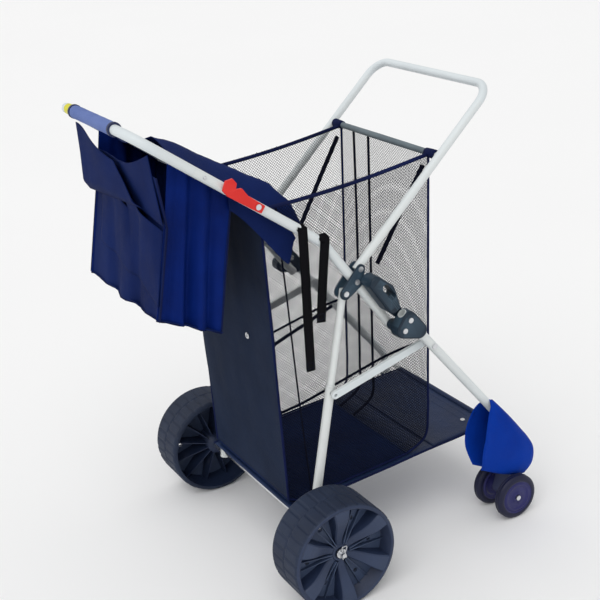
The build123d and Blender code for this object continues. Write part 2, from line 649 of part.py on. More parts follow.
# ---------------------------------------------------------------- rear wheels
drum_inner = WHEEL_RADIUS - DRUM_WALL
wheel_outer_x = WHEEL_INNER_X + WHEEL_WIDTH
wheel_plane = side_plane(WHEEL_INNER_X)
with BuildPart() as rear_wheel:
    with BuildSketch(wheel_plane):
        with Locations(AXLE_POINT):
            Circle(WHEEL_RADIUS)
            Circle(drum_inner, mode=Mode.SUBTRACT)
    extrude(amount=WHEEL_WIDTH)
    drum_edges = rear_wheel.edges().filter_by(GeomType.CIRCLE)
    fillet([edge for edge in drum_edges if edge.radius > WHEEL_RADIUS - 1], radius=6.0)
    with BuildSketch(side_plane(WEB_X)):
        with Locations(AXLE_POINT):
            Circle(drum_inner + 1)
    extrude(amount=WEB_THICKNESS)
    with BuildSketch(side_plane(HUB_START_X)):
        with Locations(AXLE_POINT):
            Circle(HUB_RADIUS)
    extrude(amount=HUB_END_X - HUB_START_X)
    for index in range(SPOKE_COUNT):
        angle = 90 + index * 360 / SPOKE_COUNT
        spoke_start = travel(AXLE_POINT, angle, HUB_RADIUS - 6)
        spoke_end = travel(AXLE_POINT, angle, drum_inner + 1)
        outline = [
            travel(spoke_start, angle, 0, SPOKE_INNER_HALF),
            travel(spoke_end, angle, 0, SPOKE_OUTER_HALF),
            travel(spoke_end, angle, 0, -SPOKE_OUTER_HALF),
            travel(spoke_start, angle, 0, -SPOKE_INNER_HALF),
        ]
        with BuildSketch(side_plane(WEB_X + WEB_THICKNESS)):
            with BuildLine():
                Polyline(*outline, close=True)
            make_face()
        extrude(amount=SPOKE_HEIGHT)
    with BuildSketch(side_plane(HUB_START_X - 1)):
        with Locations(AXLE_POINT):
            Circle(AXLE_RADIUS + RUN_CLEARANCE)
        hole_angles = [90 + (index + 0.5) * 360 / SPOKE_COUNT for index in range(SPOKE_COUNT)]
        with Locations(*[travel(AXLE_POINT, angle, POCKET_HOLE_DISTANCE) for angle in hole_angles]):
            Circle(POCKET_HOLE_RADIUS)
    extrude(amount=WHEEL_WIDTH, mode=Mode.SUBTRACT)
    with BuildSketch(side_plane(HUB_END_X)):
        with Locations(AXLE_POINT):
            Circle(HUB_RADIUS - HUB_RECESS_RIM)
    extrude(amount=WHEEL_WIDTH, mode=Mode.SUBTRACT)
save_pair(rear_wheel, "rear_wheel")

# ---------------------------------------------------------------- casters
swivel_plane = Plane(origin=place(LOWER_X, (CASTER_AXIS_Y, SOCKET_BOTTOM - SWIVEL_DROP)))
with BuildPart() as caster_fork:
    with BuildSketch(side_plane(LOWER_X - CASTER_BODY_HALF)):
        with Locations(CASTER_AXLE):
            Circle(FORK_FOOT_RADIUS)
        with Locations((CASTER_AXIS_Y, SOCKET_BOTTOM - FORK_TOP_DROP)):
            Circle(FORK_TOP_RADIUS)
        make_hull()
    extrude(amount=2 * CASTER_BODY_HALF)
    with BuildSketch(swivel_plane):
        Circle(SWIVEL_RADIUS)
    extrude(amount=SWIVEL_HEIGHT)
    with BuildSketch(swivel_plane):
        Circle(STEM_RADIUS)
    extrude(amount=STEM_LENGTH)
    with BuildSketch(side_plane(LOWER_X - 2 * CASTER_BODY_HALF)):
        with Locations(CASTER_AXLE):
            Circle(CASTER_AXLE_RADIUS + RUN_CLEARANCE)
    extrude(amount=4 * CASTER_BODY_HALF, mode=Mode.SUBTRACT)
save_pair(caster_fork, "caster_fork")

axle_reach = CASTER_HALF_TRACK + CASTER_WIDTH / 2 + SOFT_CLEARANCE
caster_axle = rivet(CASTER_AXLE, LOWER_X - axle_reach, LOWER_X + axle_reach, CASTER_AXLE_RADIUS)
save_pair(caster_axle, "caster_axle")

for place_name, offset in (("outer", CASTER_HALF_TRACK), ("inner", -CASTER_HALF_TRACK)):
    wheel_start = LOWER_X + offset - CASTER_WIDTH / 2
    with BuildPart() as caster_wheel:
        with BuildSketch(side_plane(wheel_start)):
            with Locations(CASTER_AXLE):
                Circle(CASTER_RADIUS)
        extrude(amount=CASTER_WIDTH)
        rim_edges = caster_wheel.edges().filter_by(GeomType.CIRCLE)
        fillet(rim_edges, radius=CASTER_EDGE_RADIUS)
        for start, sign in ((wheel_start, 1), (wheel_start + CASTER_WIDTH, -1)):
            with BuildSketch(side_plane(start)):
                with Locations(CASTER_AXLE):
                    Circle(CASTER_DISC_RADIUS)
                    Circle(CASTER_BOSS_RADIUS, mode=Mode.SUBTRACT)
            extrude(amount=sign * CASTER_DISH, mode=Mode.SUBTRACT)
        with BuildSketch(side_plane(wheel_start - 1)):
            with Locations(CASTER_AXLE):
                Circle(CASTER_AXLE_RADIUS + RUN_CLEARANCE)
        extrude(amount=CASTER_WIDTH + 2, mode=Mode.SUBTRACT)
    save_pair(caster_wheel, f"caster_wheel_{place_name}")

# ---------------------------------------------------------------- shelf and basket
shelf_front = (front_rod_point[0] - ROD_RADIUS - SOFT_CLEARANCE, front_rod_point[1])
shelf_rear = (SHELF_REAR_Y, SHELF_REAR_Z)
shelf_slope = slope_between(shelf_rear, shelf_front)
shelf_length = distance_between(shelf_rear, shelf_front)


def above_shelf(forward, rise):
    """Side-view point over the sloping shelf."""
    return (forward, SHELF_REAR_Z + (forward - SHELF_REAR_Y) * sin(radians(shelf_slope)) + rise)


# A second layer of cloth covers the open front of the shelf, ahead of the basket
shelf_top = SHELF_THICKNESS / 2
apron_start = RIM_ROD[0] - BASKET_FRONT_RAKE - SHELF_REAR_Y + APRON_SETBACK
shelf_outline = [
    travel(shelf_rear, shelf_slope, 0, -shelf_top),
    travel(shelf_rear, shelf_slope, shelf_length, -shelf_top),
    travel(shelf_rear, shelf_slope, shelf_length, shelf_top + APRON_LIFT),
    travel(shelf_rear, shelf_slope, apron_start, shelf_top + APRON_LIFT),
    travel(shelf_rear, shelf_slope, apron_start, shelf_top),
    travel(shelf_rear, shelf_slope, 0, shelf_top),
]
shelf = slab(shelf_outline, -SHELF_HALF, SHELF_HALF)
save(shelf, "shelf")

basket_rise = shelf_top + SOFT_CLEARANCE
rear_top = (RIM_BAR[0] - PANEL / 2, RIM_BAR[1] - RIM_BAR_RADIUS - SOFT_CLEARANCE)
rear_low = above_shelf(RIM_BAR[0] - BASKET_REAR_RAKE, basket_rise)
front_top = (RIM_ROD[0] + PANEL / 2, RIM_ROD[1] - ROD_RADIUS - SOFT_CLEARANCE)
front_low = above_shelf(RIM_ROD[0] - BASKET_FRONT_RAKE, basket_rise)
rear_outline = [rear_top, (rear_top[0] + PANEL, rear_top[1]), (rear_low[0] + PANEL, rear_low[1]), rear_low]
basket_rear = slab(rear_outline, -BASKET_HALF, BASKET_HALF)
save(basket_rear, "basket_rear_panel")
front_outline = [(front_top[0] - PANEL, front_top[1]), front_top, front_low, (front_low[0] - PANEL, front_low[1])]
basket_front = slab(front_outline, -BASKET_HALF, BASKET_HALF)
save(basket_front, "basket_front_panel")
side_outline = [rear_outline[1], front_outline[0], front_outline[3], rear_outline[2]]
basket_side = slab(side_outline, BASKET_HALF - PANEL, BASKET_HALF)
save_pair(basket_side, "basket_side_panel")
floor_inset = SOFT_CLEARANCE / 2
floor_outline = [
    (rear_outline[2][0] + floor_inset, rear_outline[2][1]),
    (front_outline[3][0] - floor_inset, front_outline[3][1]),
    (front_outline[3][0] - floor_inset, front_outline[3][1] + PANEL),
    (rear_outline[2][0] + floor_inset, rear_outline[2][1] + PANEL),
]
basket_floor = slab(floor_outline, -BASKET_HALF + PANEL, BASKET_HALF - PANEL)
save(basket_floor, "basket_floor")

# ---------------------------------------------------------------- tote behind the handle
tote_half = handle_x(TOTE_TOP_DISTANCE) - TUBE_RADIUS - SOFT_CLEARANCE
tote_hollow = [(y + dy, z + dz) for (y, z), (dy, dz) in zip(TOTE_OUTLINE, TOTE_INSET)]
with BuildPart() as tote:
    with BuildSketch(side_plane(-tote_half)):
        with BuildLine():
            Polyline(*TOTE_OUTLINE, close=True)
        make_face()
    extrude(amount=2 * tote_half)
    with BuildSketch(side_plane(-tote_half + TOTE_WALL)):
        with BuildLine():
            Polyline(*tote_hollow, close=True)
        make_face()
    extrude(amount=2 * (tote_half - TOTE_WALL), mode=Mode.SUBTRACT)
save(tote, "tote")

# ---------------------------------------------------------------- pole pouch on the right lower tube
pouch_hollow = [(y + dy, z + dz) for (y, z), (dy, dz) in zip(POUCH_OUTLINE, POUCH_INSET)]
with BuildPart() as pole_pouch:
    with BuildSketch(side_plane(POUCH_INNER_X)):
        with BuildLine():
            Polyline(*POUCH_OUTLINE, close=True)
        make_face()
    extrude(amount=POUCH_OUTER_X - POUCH_INNER_X)
    with BuildSketch(side_plane(POUCH_INNER_X + POUCH_WALL)):
        with BuildLine():
            Polyline(*pouch_hollow, close=True)
        make_face()
    extrude(amount=POUCH_OUTER_X - POUCH_INNER_X - 2 * POUCH_WALL, mode=Mode.SUBTRACT)
    with BuildSketch(swivel_plane):
        Circle(SWIVEL_RADIUS + POUCH_HOLE_CLEARANCE)
    extrude(amount=SOCKET_HEIGHT + SWIVEL_DROP, both=True, mode=Mode.SUBTRACT)
    with BuildSketch(side_plane(POUCH_INNER_X - 1)):
        with Locations(front_rod_point):
            Circle(ROD_RADIUS + SOFT_CLEARANCE)
    extrude(amount=POUCH_WALL + 2, mode=Mode.SUBTRACT)
save(pole_pouch, "pole_pouch")

# ---------------------------------------------------------------- webbing tails
straps = []
for (top, bottom), distance in zip(STRAPS, STRAP_DISTANCES):
    strap_face = handle_x(distance) + TUBE_RADIUS + SOFT_CLEARANCE
    slope = slope_between(top, bottom)
    length = distance_between(top, bottom)
    corners = [(0, -1), (length, -1), (length, 1), (0, 1)]
    outline = [travel(top, slope, along, across * STRAP_WIDTH / 2) for along, across in corners]
    straps.append(slab(outline, strap_face, strap_face + STRAP_THICKNESS))
save(straps[0], "strap_tail_rear")
save(straps[1], "strap_tail_front")
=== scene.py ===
"""Looks of the folding beach cart: materials, wheels, basket, tote, shelf, webbing, light and camera.
Metres, +Z up, +X to the cart's right, +Y forwards. Shapes are first given in millimetres."""

from collections import namedtuple
from math import atan2, cos, hypot, pi, radians, sin, sqrt

import bmesh
import bpy
from mathutils import Matrix, Vector, noise


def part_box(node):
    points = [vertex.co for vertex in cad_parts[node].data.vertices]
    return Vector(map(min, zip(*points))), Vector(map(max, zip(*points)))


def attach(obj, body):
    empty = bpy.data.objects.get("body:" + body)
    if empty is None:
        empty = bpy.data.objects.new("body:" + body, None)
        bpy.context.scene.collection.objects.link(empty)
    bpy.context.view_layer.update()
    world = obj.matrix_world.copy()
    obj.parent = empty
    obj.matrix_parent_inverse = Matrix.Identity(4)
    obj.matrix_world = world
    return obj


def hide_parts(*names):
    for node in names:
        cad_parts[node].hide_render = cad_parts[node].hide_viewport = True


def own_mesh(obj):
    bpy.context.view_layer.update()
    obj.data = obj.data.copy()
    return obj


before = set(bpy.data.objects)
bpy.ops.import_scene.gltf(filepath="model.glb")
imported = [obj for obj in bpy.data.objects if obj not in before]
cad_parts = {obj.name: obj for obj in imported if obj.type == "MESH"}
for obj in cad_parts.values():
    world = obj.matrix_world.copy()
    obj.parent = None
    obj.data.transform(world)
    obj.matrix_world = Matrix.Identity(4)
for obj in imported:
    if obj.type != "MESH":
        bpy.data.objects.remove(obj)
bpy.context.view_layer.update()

MM = 0.001
SIDES = (("right", 1), ("left", -1))
ACROSS, FORWARD, UPWARD = Vector((1, 0, 0)), Vector((0, 1, 0)), Vector((0, 0, 1))


def middle(node):
    low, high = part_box(node)
    return (low + high) / 2


def half_size(node):
    """Half the width, length and height of a node's box, in millimetres."""
    low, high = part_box(node)
    return [(b - a) / 2 / MM for a, b in zip(low, high)]


AXLE = middle("axle")
WHEEL_RADIUS = half_size("rear_wheel_right")[2]


def ahead_of_axle(y):
    """Millimetres ahead of the rear axle, from the frame's metres."""
    return (y - AXLE.y) / MM


def at(x, y, z):
    """Point from millimetres across, ahead of the rear axle and above the ground."""
    return Vector((x * MM, AXLE.y + y * MM, z * MM))


def mix(a, b, share):
    return a + (b - a) * share


def mix2(a, b, share):
    return (mix(a[0], b[0], share), mix(a[1], b[1], share))


def smooth(share):
    share = min(1.0, max(0.0, share))
    return share * share * (3 - 2 * share)


def along(points, share):
    """Point at a share of a polyline's length, in two or three dimensions."""
    steps = [sqrt(sum((q - p) ** 2 for p, q in zip(a, b))) for a, b in zip(points, points[1:])]
    rest = share * sum(steps)
    for a, b, step in zip(points, points[1:], steps):
        if rest <= step or b is points[-1]:
            ratio = min(1.0, rest / step)
            return tuple(mix(p, q, ratio) for p, q in zip(a, b))
        rest -= step


# ---------------------------------------------------------------- materials
def shader_of(name):
    material = bpy.data.materials.new(name)
    material.use_nodes = True
    tree = material.node_tree
    return material, tree, tree.nodes["Principled BSDF"]


def add_node(tree, kind, **values):
    made = tree.nodes.new(kind)
    for key, value in values.items():
        made.inputs[key.replace("_", " ")].default_value = value
    return made


def add_noise(tree, vector, scale, detail=3.0):
    made = add_node(tree, "ShaderNodeTexNoise", Scale=scale, Detail=detail)
    tree.links.new(vector, made.inputs["Vector"])
    return made.outputs["Fac"]


def add_ramp(tree, factor, stops):
    made = tree.nodes.new("ShaderNodeValToRGB")
    elements = made.color_ramp.elements
    while len(elements) < len(stops):
        elements.new(0.5)
    for element, (position, colour) in zip(elements, stops):
        element.position = position
        element.color = (*colour, 1.0)
    tree.links.new(factor, made.inputs["Fac"])
    return made.outputs["Color"]


def add_range(tree, factor, low, high, start=0.0, end=1.0):
    made = add_node(tree, "ShaderNodeMapRange")
    made.inputs["From Min"].default_value = start
    made.inputs["From Max"].default_value = end
    made.inputs["To Min"].default_value = low
    made.inputs["To Max"].default_value = high
    tree.links.new(factor, made.inputs["Value"])
    return made.outputs["Result"]


def add_bump(tree, shader, height, strength, distance):
    made = add_node(tree, "ShaderNodeBump", Strength=strength, Distance=distance)
    tree.links.new(height, made.inputs["Height"])
    tree.links.new(made.outputs["Normal"], shader.inputs["Normal"])
    return made


# Noise is (scale, detail), depths are in metres
PATCHES, GLOSS_PATCHES = (14.0, 5.0), (60.0, 4.0)
FADING, CRUMPLES = (9.0, 6.0), (26.0, 4.0)
GRAIN_DEPTH, THREAD_DEPTH, CRUMPLE_DEPTH = 0.0004, 0.0003, 0.004
WORN_SHARE, WORN_FROM, WORN_TO = 0.7, 0.53, 0.62
WAVE_PERIOD = 0.314
GAP_TONE, THREAD_TONE = (0.55, 0.55, 0.6), (1.0, 1.0, 1.0)


def hard(name, colour, shade, rough, grain=900.0, bump=0.25, worn=None, stretch=(1.0, 1.0, 1.0), metal=0.0,
         specular=0.3):
    """Painted, plated or moulded surface: mottled tone, uneven gloss, fine grain and rubbed edges."""
    material, tree, shader = shader_of(name)
    place = tree.nodes.new("ShaderNodeTexCoord").outputs["Object"]
    scaled = add_node(tree, "ShaderNodeMapping", Scale=stretch)
    tree.links.new(place, scaled.inputs["Vector"])
    place = scaled.outputs["Vector"]
    patches = add_noise(tree, place, *PATCHES)
    tone = add_ramp(tree, patches, [(0.3, shade), (0.7, colour)])
    if worn:
        edges = tree.nodes.new("ShaderNodeNewGeometry").outputs["Pointiness"]
        rubbed = add_range(tree, edges, 0.0, WORN_SHARE, WORN_FROM, WORN_TO)
        blend = tree.nodes.new("ShaderNodeMix")
        blend.data_type = "RGBA"
        tree.links.new(rubbed, blend.inputs["Factor"])
        tree.links.new(tone, blend.inputs["A"])
        blend.inputs["B"].default_value = (*worn, 1.0)
        tone = blend.outputs["Result"]
    tree.links.new(tone, shader.inputs["Base Color"])
    gloss = add_range(tree, add_noise(tree, place, *GLOSS_PATCHES), rough - 0.07, rough + 0.09)
    tree.links.new(gloss, shader.inputs["Roughness"])
    add_bump(tree, shader, add_noise(tree, place, grain, 2.0), bump, GRAIN_DEPTH)
    shader.inputs["Metallic"].default_value = metal
    shader.inputs["Specular IOR Level"].default_value = specular
    return material


def cloth(name, colour, shade, thread, rough=0.75, bump=0.5, crumple=0.6, specular=0.07):
    """Woven cloth: crossed threads in the piece's own map, faded patches and small crumples."""
    material, tree, shader = shader_of(name)
    place = tree.nodes.new("ShaderNodeUVMap")
    place.uv_map = "weave"
    place = place.outputs["UV"]
    weave = tree.nodes.new("ShaderNodeMath")
    weave.operation = "MULTIPLY"
    scale = WAVE_PERIOD / (thread * MM)
    for direction, factor in zip(("X", "Y"), weave.inputs):
        made = add_node(tree, "ShaderNodeTexWave", Scale=scale, Distortion=0.4, Detail=1.0)
        made.bands_direction = direction
        tree.links.new(place, made.inputs["Vector"])
        tree.links.new(made.outputs["Fac"], factor)
    woven = weave.outputs["Value"]
    solid = tree.nodes.new("ShaderNodeTexCoord").outputs["Object"]
    faded = add_noise(tree, solid, *FADING)
    tone = add_ramp(tree, faded, [(0.28, shade), (0.72, colour)])
    darker = tree.nodes.new("ShaderNodeMix")
    darker.data_type = "RGBA"
    darker.blend_type = "MULTIPLY"
    darker.inputs["Factor"].default_value = 0.5
    tree.links.new(tone, darker.inputs["A"])
    tree.links.new(add_ramp(tree, woven, [(0.0, GAP_TONE), (0.6, THREAD_TONE)]), darker.inputs["B"])
    tree.links.new(darker.outputs["Result"], shader.inputs["Base Color"])
    tree.links.new(add_range(tree, faded, rough - 0.08, rough + 0.1), shader.inputs["Roughness"])
    fine = add_bump(tree, shader, woven, bump, THREAD_DEPTH)
    crumples = add_node(tree, "ShaderNodeBump", Strength=crumple, Distance=CRUMPLE_DEPTH)
    tree.links.new(add_noise(tree, solid, *CRUMPLES), crumples.inputs["Height"])
    tree.links.new(crumples.outputs["Normal"], fine.inputs["Normal"])
    shader.inputs["Specular IOR Level"].default_value = specular
    return material


# Colour and darker shade, then roughness, grain and bump, or the width of a thread in millimetres
WHITE = hard("white_powder_coat", (0.70, 0.75, 0.77), (0.64, 0.69, 0.71), 0.36, 1400, 0.18,
             worn=(0.7, 0.72, 0.7))
STEEL = hard("zinc_steel", (0.74, 0.75, 0.77), (0.58, 0.59, 0.61), 0.3, 700, 0.15,
             stretch=(1, 1, 6), metal=1.0)
LATCH = hard("dark_plastic", (0.010, 0.024, 0.042), (0.006, 0.015, 0.028), 0.42, 1600, 0.3,
             worn=(0.05, 0.09, 0.13))
TREAD = hard("wheel_tread", (0.016, 0.027, 0.058), (0.009, 0.016, 0.038), 0.62, 1200, 0.45,
             worn=(0.05, 0.07, 0.12))
WHEEL = hard("wheel_plastic", (0.020, 0.032, 0.074), (0.012, 0.021, 0.052), 0.45, 1500, 0.3,
             worn=(0.07, 0.10, 0.18))
CASTER = hard("caster_plastic", (0.010, 0.012, 0.042), (0.006, 0.007, 0.027), 0.45, 1400, 0.3,
              worn=(0.06, 0.07, 0.14))
DISC = hard("caster_disc", (0.024, 0.024, 0.125), (0.016, 0.016, 0.090), 0.36, 1400, 0.2,
            worn=(0.10, 0.10, 0.26))
FOAM = hard("blue_foam", (0.15, 0.21, 0.46), (0.11, 0.16, 0.39), 0.85, 2600, 0.9,
            worn=(0.25, 0.32, 0.56), specular=0.2)
RINGS = hard("navy_ring", (0.006, 0.010, 0.055), (0.004, 0.006, 0.038), 0.45, 1400, 0.3,
             worn=(0.03, 0.04, 0.10))
YELLOW = hard("yellow_wrap", (0.72, 0.68, 0.012), (0.60, 0.55, 0.008), 0.35, 900, 0.25, stretch=(60, 1, 1))
FLOOR_CLOTH = cloth("floor_fabric", (0.009, 0.022, 0.080), (0.004, 0.011, 0.046), 1.1)
RED = hard("red_plastic", (0.62, 0.004, 0.006), (0.50, 0.002, 0.004), 0.34, 1300, 0.2,
           worn=(0.80, 0.06, 0.05), specular=0.12)
NAVY = cloth("navy_fabric", (0.008, 0.022, 0.118), (0.004, 0.012, 0.072), 1.1)
SHELF = cloth("shelf_fabric", (0.012, 0.034, 0.110), (0.006, 0.018, 0.062), 1.3, rough=0.5, specular=0.3)
REAR = cloth("rear_fabric", (0.019, 0.031, 0.066), (0.010, 0.018, 0.042), 1.1)
ROYAL = cloth("blue_fabric", (0.0015, 0.020, 0.190), (0.0008, 0.010, 0.100), 1.0, rough=0.6)
POUCH = cloth("pouch_fabric", (0.002, 0.050, 0.430), (0.001, 0.032, 0.310), 1.0, rough=0.7)
NET = cloth("navy_mesh", (0.006, 0.008, 0.022), (0.003, 0.004, 0.013), 0.5, crumple=0.1)
BINDING = cloth("navy_binding", (0.010, 0.017, 0.080), (0.005, 0.009, 0.045), 1.4, bump=0.9, crumple=0.3)
TAPE = cloth("dark_tape", (0.006, 0.008, 0.022), (0.003, 0.004, 0.012), 1.4, bump=0.9, crumple=0.3)
WEBBING = cloth("black_webbing", (0.006, 0.006, 0.008), (0.003, 0.003, 0.004), 1.8, bump=0.9, crumple=0.1)
THREAD = cloth("stitching", (0.05, 0.065, 0.13), (0.03, 0.040, 0.08), 0.6, crumple=0.1)

# The longest of these words in a node's name chooses its material, and cloth without one is navy
NODE_MATERIALS = {
    "lower_tube": WHITE, "handle": WHITE, "rear_rim_bar": WHITE, "rear_leg": WHITE, "hoop": WHITE,
    "side_brace": WHITE, "front_cross_rod": WHITE, "front_rim_rod": WHITE, "axle": STEEL,
    "caster_axle": STEEL, "rivets": STEEL, "hook_rivet": STEEL, "snap_button": STEEL, "splice_spigots": STEEL,
    "latch": LATCH,
    "knuckle_plates": LATCH, "caster_socket": LATCH, "caster_fork": CASTER, "caster_wheel": CASTER,
    "rear_wheel": WHEEL, "grip_rings": RINGS, "foam_grip": FOAM, "label_sleeve": YELLOW, "hook_lever": RED,
}
for node_name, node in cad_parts.items():
    keys = [key for key in NODE_MATERIALS if key in node_name]
    chosen = NODE_MATERIALS[max(keys, key=len)] if keys else NAVY
    node.data.materials.clear()
    node.data.materials.append(chosen)


# ---------------------------------------------------------------- mesh helpers
def make(name, vertices, faces, materials, coordinates=None, kinds=None, smooth_shading=True):
    """Object from points and faces, with a weave map in metres and one material index a face."""
    mesh = bpy.data.meshes.new(name)
    mesh.from_pydata([tuple(v) for v in vertices], [], faces)
    for material in materials:
        mesh.materials.append(material)
    layer = mesh.uv_layers.new(name="weave")
    for polygon in mesh.polygons:
        polygon.use_smooth = smooth_shading
        if kinds:
            polygon.material_index = kinds[polygon.index]
        for loop in polygon.loop_indices:
            index = mesh.loops[loop].vertex_index
            if coordinates:
                layer.data[loop].uv = coordinates[index]
            else:
                co = mesh.vertices[index].co
                layer.data[loop].uv = (co.x + co.y, co.z + co.y)
    mesh.validate()
    obj = bpy.data.objects.new(name, mesh)
    bpy.context.scene.collection.objects.link(obj)
    return obj


def settle(obj):
    """Apply every modifier, so the shown mesh is the object's own."""
    bpy.context.view_layer.update()
    shown = obj.evaluated_get(bpy.context.evaluated_depsgraph_get())
    obj.data = bpy.data.meshes.new_from_object(shown)
    obj.data.name = obj.name
    obj.modifiers.clear()
    return obj

def surface(name, point, across, up, size, material, thickness):
    """Cloth given by a function of two shares, thickened to both sides. Size is of its weave, in metres."""
    vertices, coordinates, faces = [], [], []
    for j in range(up + 1):
        for i in range(across + 1):
            vertices.append(point(i / across, j / up))
            coordinates.append((i / across * size[0], j / up * size[1]))
    for j in range(up):
        for i in range(across):
            a = j * (across + 1) + i
            faces.append((a, a + 1, a + across + 2, a + across + 1))
    obj = make(name, vertices, faces, [material], coordinates)
    solid = obj.modifiers.new("thickness", "SOLIDIFY")
    solid.thickness = thickness
    solid.offset = 0.0
    return settle(obj)


def lathe(name, profile, centre, materials, kinds=None, steps=96, radius_change=None):
    """Body of revolution about X: profile of (x, r) in millimetres, x counted from the cart's middle."""
    vertices, faces, index = [], [], []
    rows = len(profile)
    for j, (x, r) in enumerate(profile):
        for i in range(steps):
            angle = 2 * pi * i / steps
            radius = (r - (radius_change(x, r, angle) if radius_change else 0.0)) * MM
            vertices.append((x * MM, centre.y + radius * cos(angle), centre.z + radius * sin(angle)))
    for j in range(rows - 1):
        for i in range(steps):
            k = (i + 1) % steps
            faces.append((j * steps + i, j * steps + k, (j + 1) * steps + k, (j + 1) * steps + i))
            index.append(kinds[j] if kinds else 0)
    coordinates = [(v[0], atan2(v[2] - centre.z, v[1] - centre.y) * 0.1) for v in vertices]
    return make(name, vertices, faces, materials, coordinates, index)


def wires(name, runs, radius, material, sides=0):
    """Round cords along runs of points, as one mesh."""
    curve = bpy.data.curves.new(name, "CURVE")
    curve.dimensions = "3D"
    curve.bevel_depth = radius * MM
    curve.bevel_resolution = sides
    curve.use_fill_caps = True
    for run in runs:
        spline = curve.splines.new("POLY")
        spline.points.add(len(run) - 1)
        for point, target in zip(run, spline.points):
            target.co = (*point, 1.0)
    source = bpy.data.objects.new(name + "_source", curve)
    bpy.context.scene.collection.objects.link(source)
    bpy.context.view_layer.update()
    mesh = bpy.data.meshes.new_from_object(source.evaluated_get(bpy.context.evaluated_depsgraph_get()))
    bpy.data.objects.remove(source)
    mesh.name = name
    mesh.materials.clear()
    mesh.materials.append(material)
    layer = mesh.uv_layers.get("weave") or mesh.uv_layers.new(name="weave")
    for loop in mesh.loops:
        co = mesh.vertices[loop.vertex_index].co
        layer.data[loop.index].uv = (co.x + co.y, co.z)
    for polygon in mesh.polygons:
        polygon.use_smooth = True
    obj = bpy.data.objects.new(name, mesh)
    bpy.context.scene.collection.objects.link(obj)
    return obj


def eased(points, steps):
    """Smooth curve through the given points."""
    result = []
    for k in range(len(points) - 1):
        p0, p1 = points[max(k - 1, 0)], points[k]
        p2, p3 = points[k + 1], points[min(k + 2, len(points) - 1)]
        for i in range(steps):
            t = i / steps
            result.append(0.5 * (2 * p1 + (p2 - p0) * t + (2 * p0 - 5 * p1 + 4 * p2 - p3) * t * t
                                 + (3 * p1 - p0 - 3 * p2 + p3) * t ** 3))
    result.append(points[-1].copy())
    return result

EASING = 6
BAND_ACROSS = 4
EDGE_THINNING = 0.35


def band(name, points, width, side, thickness, material):
    """Flat woven band along points, its width along the given direction, with slightly thinner edges."""
    line = eased(points, EASING)
    vertices, coordinates, faces = [], [], []
    travelled = 0.0
    count = BAND_ACROSS + 1
    for k, point in enumerate(line):
        ahead = line[min(k + 1, len(line) - 1)] - line[max(k - 1, 0)]
        if k:
            travelled += (point - line[k - 1]).length
        direction = (side - ahead * side.dot(ahead) / ahead.length_squared).normalized()
        normal = direction.cross(ahead).normalized()
        for face in (1, -1):
            for i in range(count):
                share = i / BAND_ACROSS * 2 - 1
                lift = thickness / 2 * (1 - EDGE_THINNING * share ** 4)
                vertices.append(point + direction * share * width / 2 * MM + normal * face * lift * MM)
                coordinates.append((share * width / 2 * MM, travelled))
    ring = 2 * count
    for k in range(len(line) - 1):
        a, b = k * ring, (k + 1) * ring
        for i in range(BAND_ACROSS):
            faces.append((a + i, a + i + 1, b + i + 1, b + i))
            faces.append((a + count + i + 1, a + count + i, b + count + i, b + count + i + 1))
        faces.append((a, b, b + count, a + count))
        faces.append((a + BAND_ACROSS, a + count + BAND_ACROSS, b + count + BAND_ACROSS, b + BAND_ACROSS))
    for k in (0, len(line) - 1):
        a = k * ring
        loop = [a + i for i in range(count)] + [a + count + i for i in reversed(range(count))]
        faces.append(tuple(loop if k else reversed(loop)))
    return make(name, vertices, faces, [material], coordinates)


def carry(obj, body, slot, *nodes):
    """Fix a piece to a CAD body and hide the CAD nodes it stands for. The slot argument is not used."""
    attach(obj, body)
    if nodes:
        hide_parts(*nodes)
    return obj


STITCH_PITCH = 1.7
STITCH_SHARE = 0.55


def stitches(name, points, length, radius, body):
    """Dashed row of thread along points. The pitch is in stitch lengths."""
    total = sum((b - a).length for a, b in zip(points, points[1:]))
    count = max(2, int(total / (length * STITCH_PITCH * MM)))
    runs = [[Vector(along(points, i / count)), Vector(along(points, (i + STITCH_SHARE) / count))]
            for i in range(count)]
    return carry(wires(name, runs, radius, THREAD), body, "navy_fabric")


# ---------------------------------------------------------------- rear wheels
TREAD_BLOCKS = 30
TREAD_ROWS = 44
GROOVE_DEPTH = 1.9
GROOVE_HALF, GROOVE_SLOPE = 2.0, 1.4
RING_GROOVE_HALF, RING_GROOVE_SLOPE = 1.2, 1.2
SHOULDER = 7.0
DRUM_RADIUS = WHEEL_RADIUS - 10.0
WEB_DEPTH = 62.0
WEB_THICKNESS = 5
SPOKE_COUNT = 6
SPOKE_ANGLE = pi / 3
SPOKE_STEPS = 10
HUB_RADIUS = 20
HOLE_CIRCLE, HOLE_RADIUS = 71, 5
Wheel = namedtuple("Wheel", "side sign centre inner outer web")


def wheel_piece(wheel, obj, *nodes):
    return carry(obj, f"rear_wheel_{wheel.side}", "wheel_plastic", *nodes)


def tread_cut(offset, angle):
    """Depth of the tread at an offset from the wheel's middle: one groove round it, staggered ones across."""
    row = 0.0 if offset > 0 else 0.5
    phase = (angle / (2 * pi) * TREAD_BLOCKS + row) % 1.0
    distance = min(phase, 1 - phase) * 2 * pi * WHEEL_RADIUS / TREAD_BLOCKS
    cross_groove = 1 - smooth((distance - GROOVE_HALF) / GROOVE_SLOPE)
    ring_groove = 1 - smooth((abs(offset) - RING_GROOVE_HALF) / RING_GROOVE_SLOPE)
    return GROOVE_DEPTH * max(cross_groove, ring_groove)


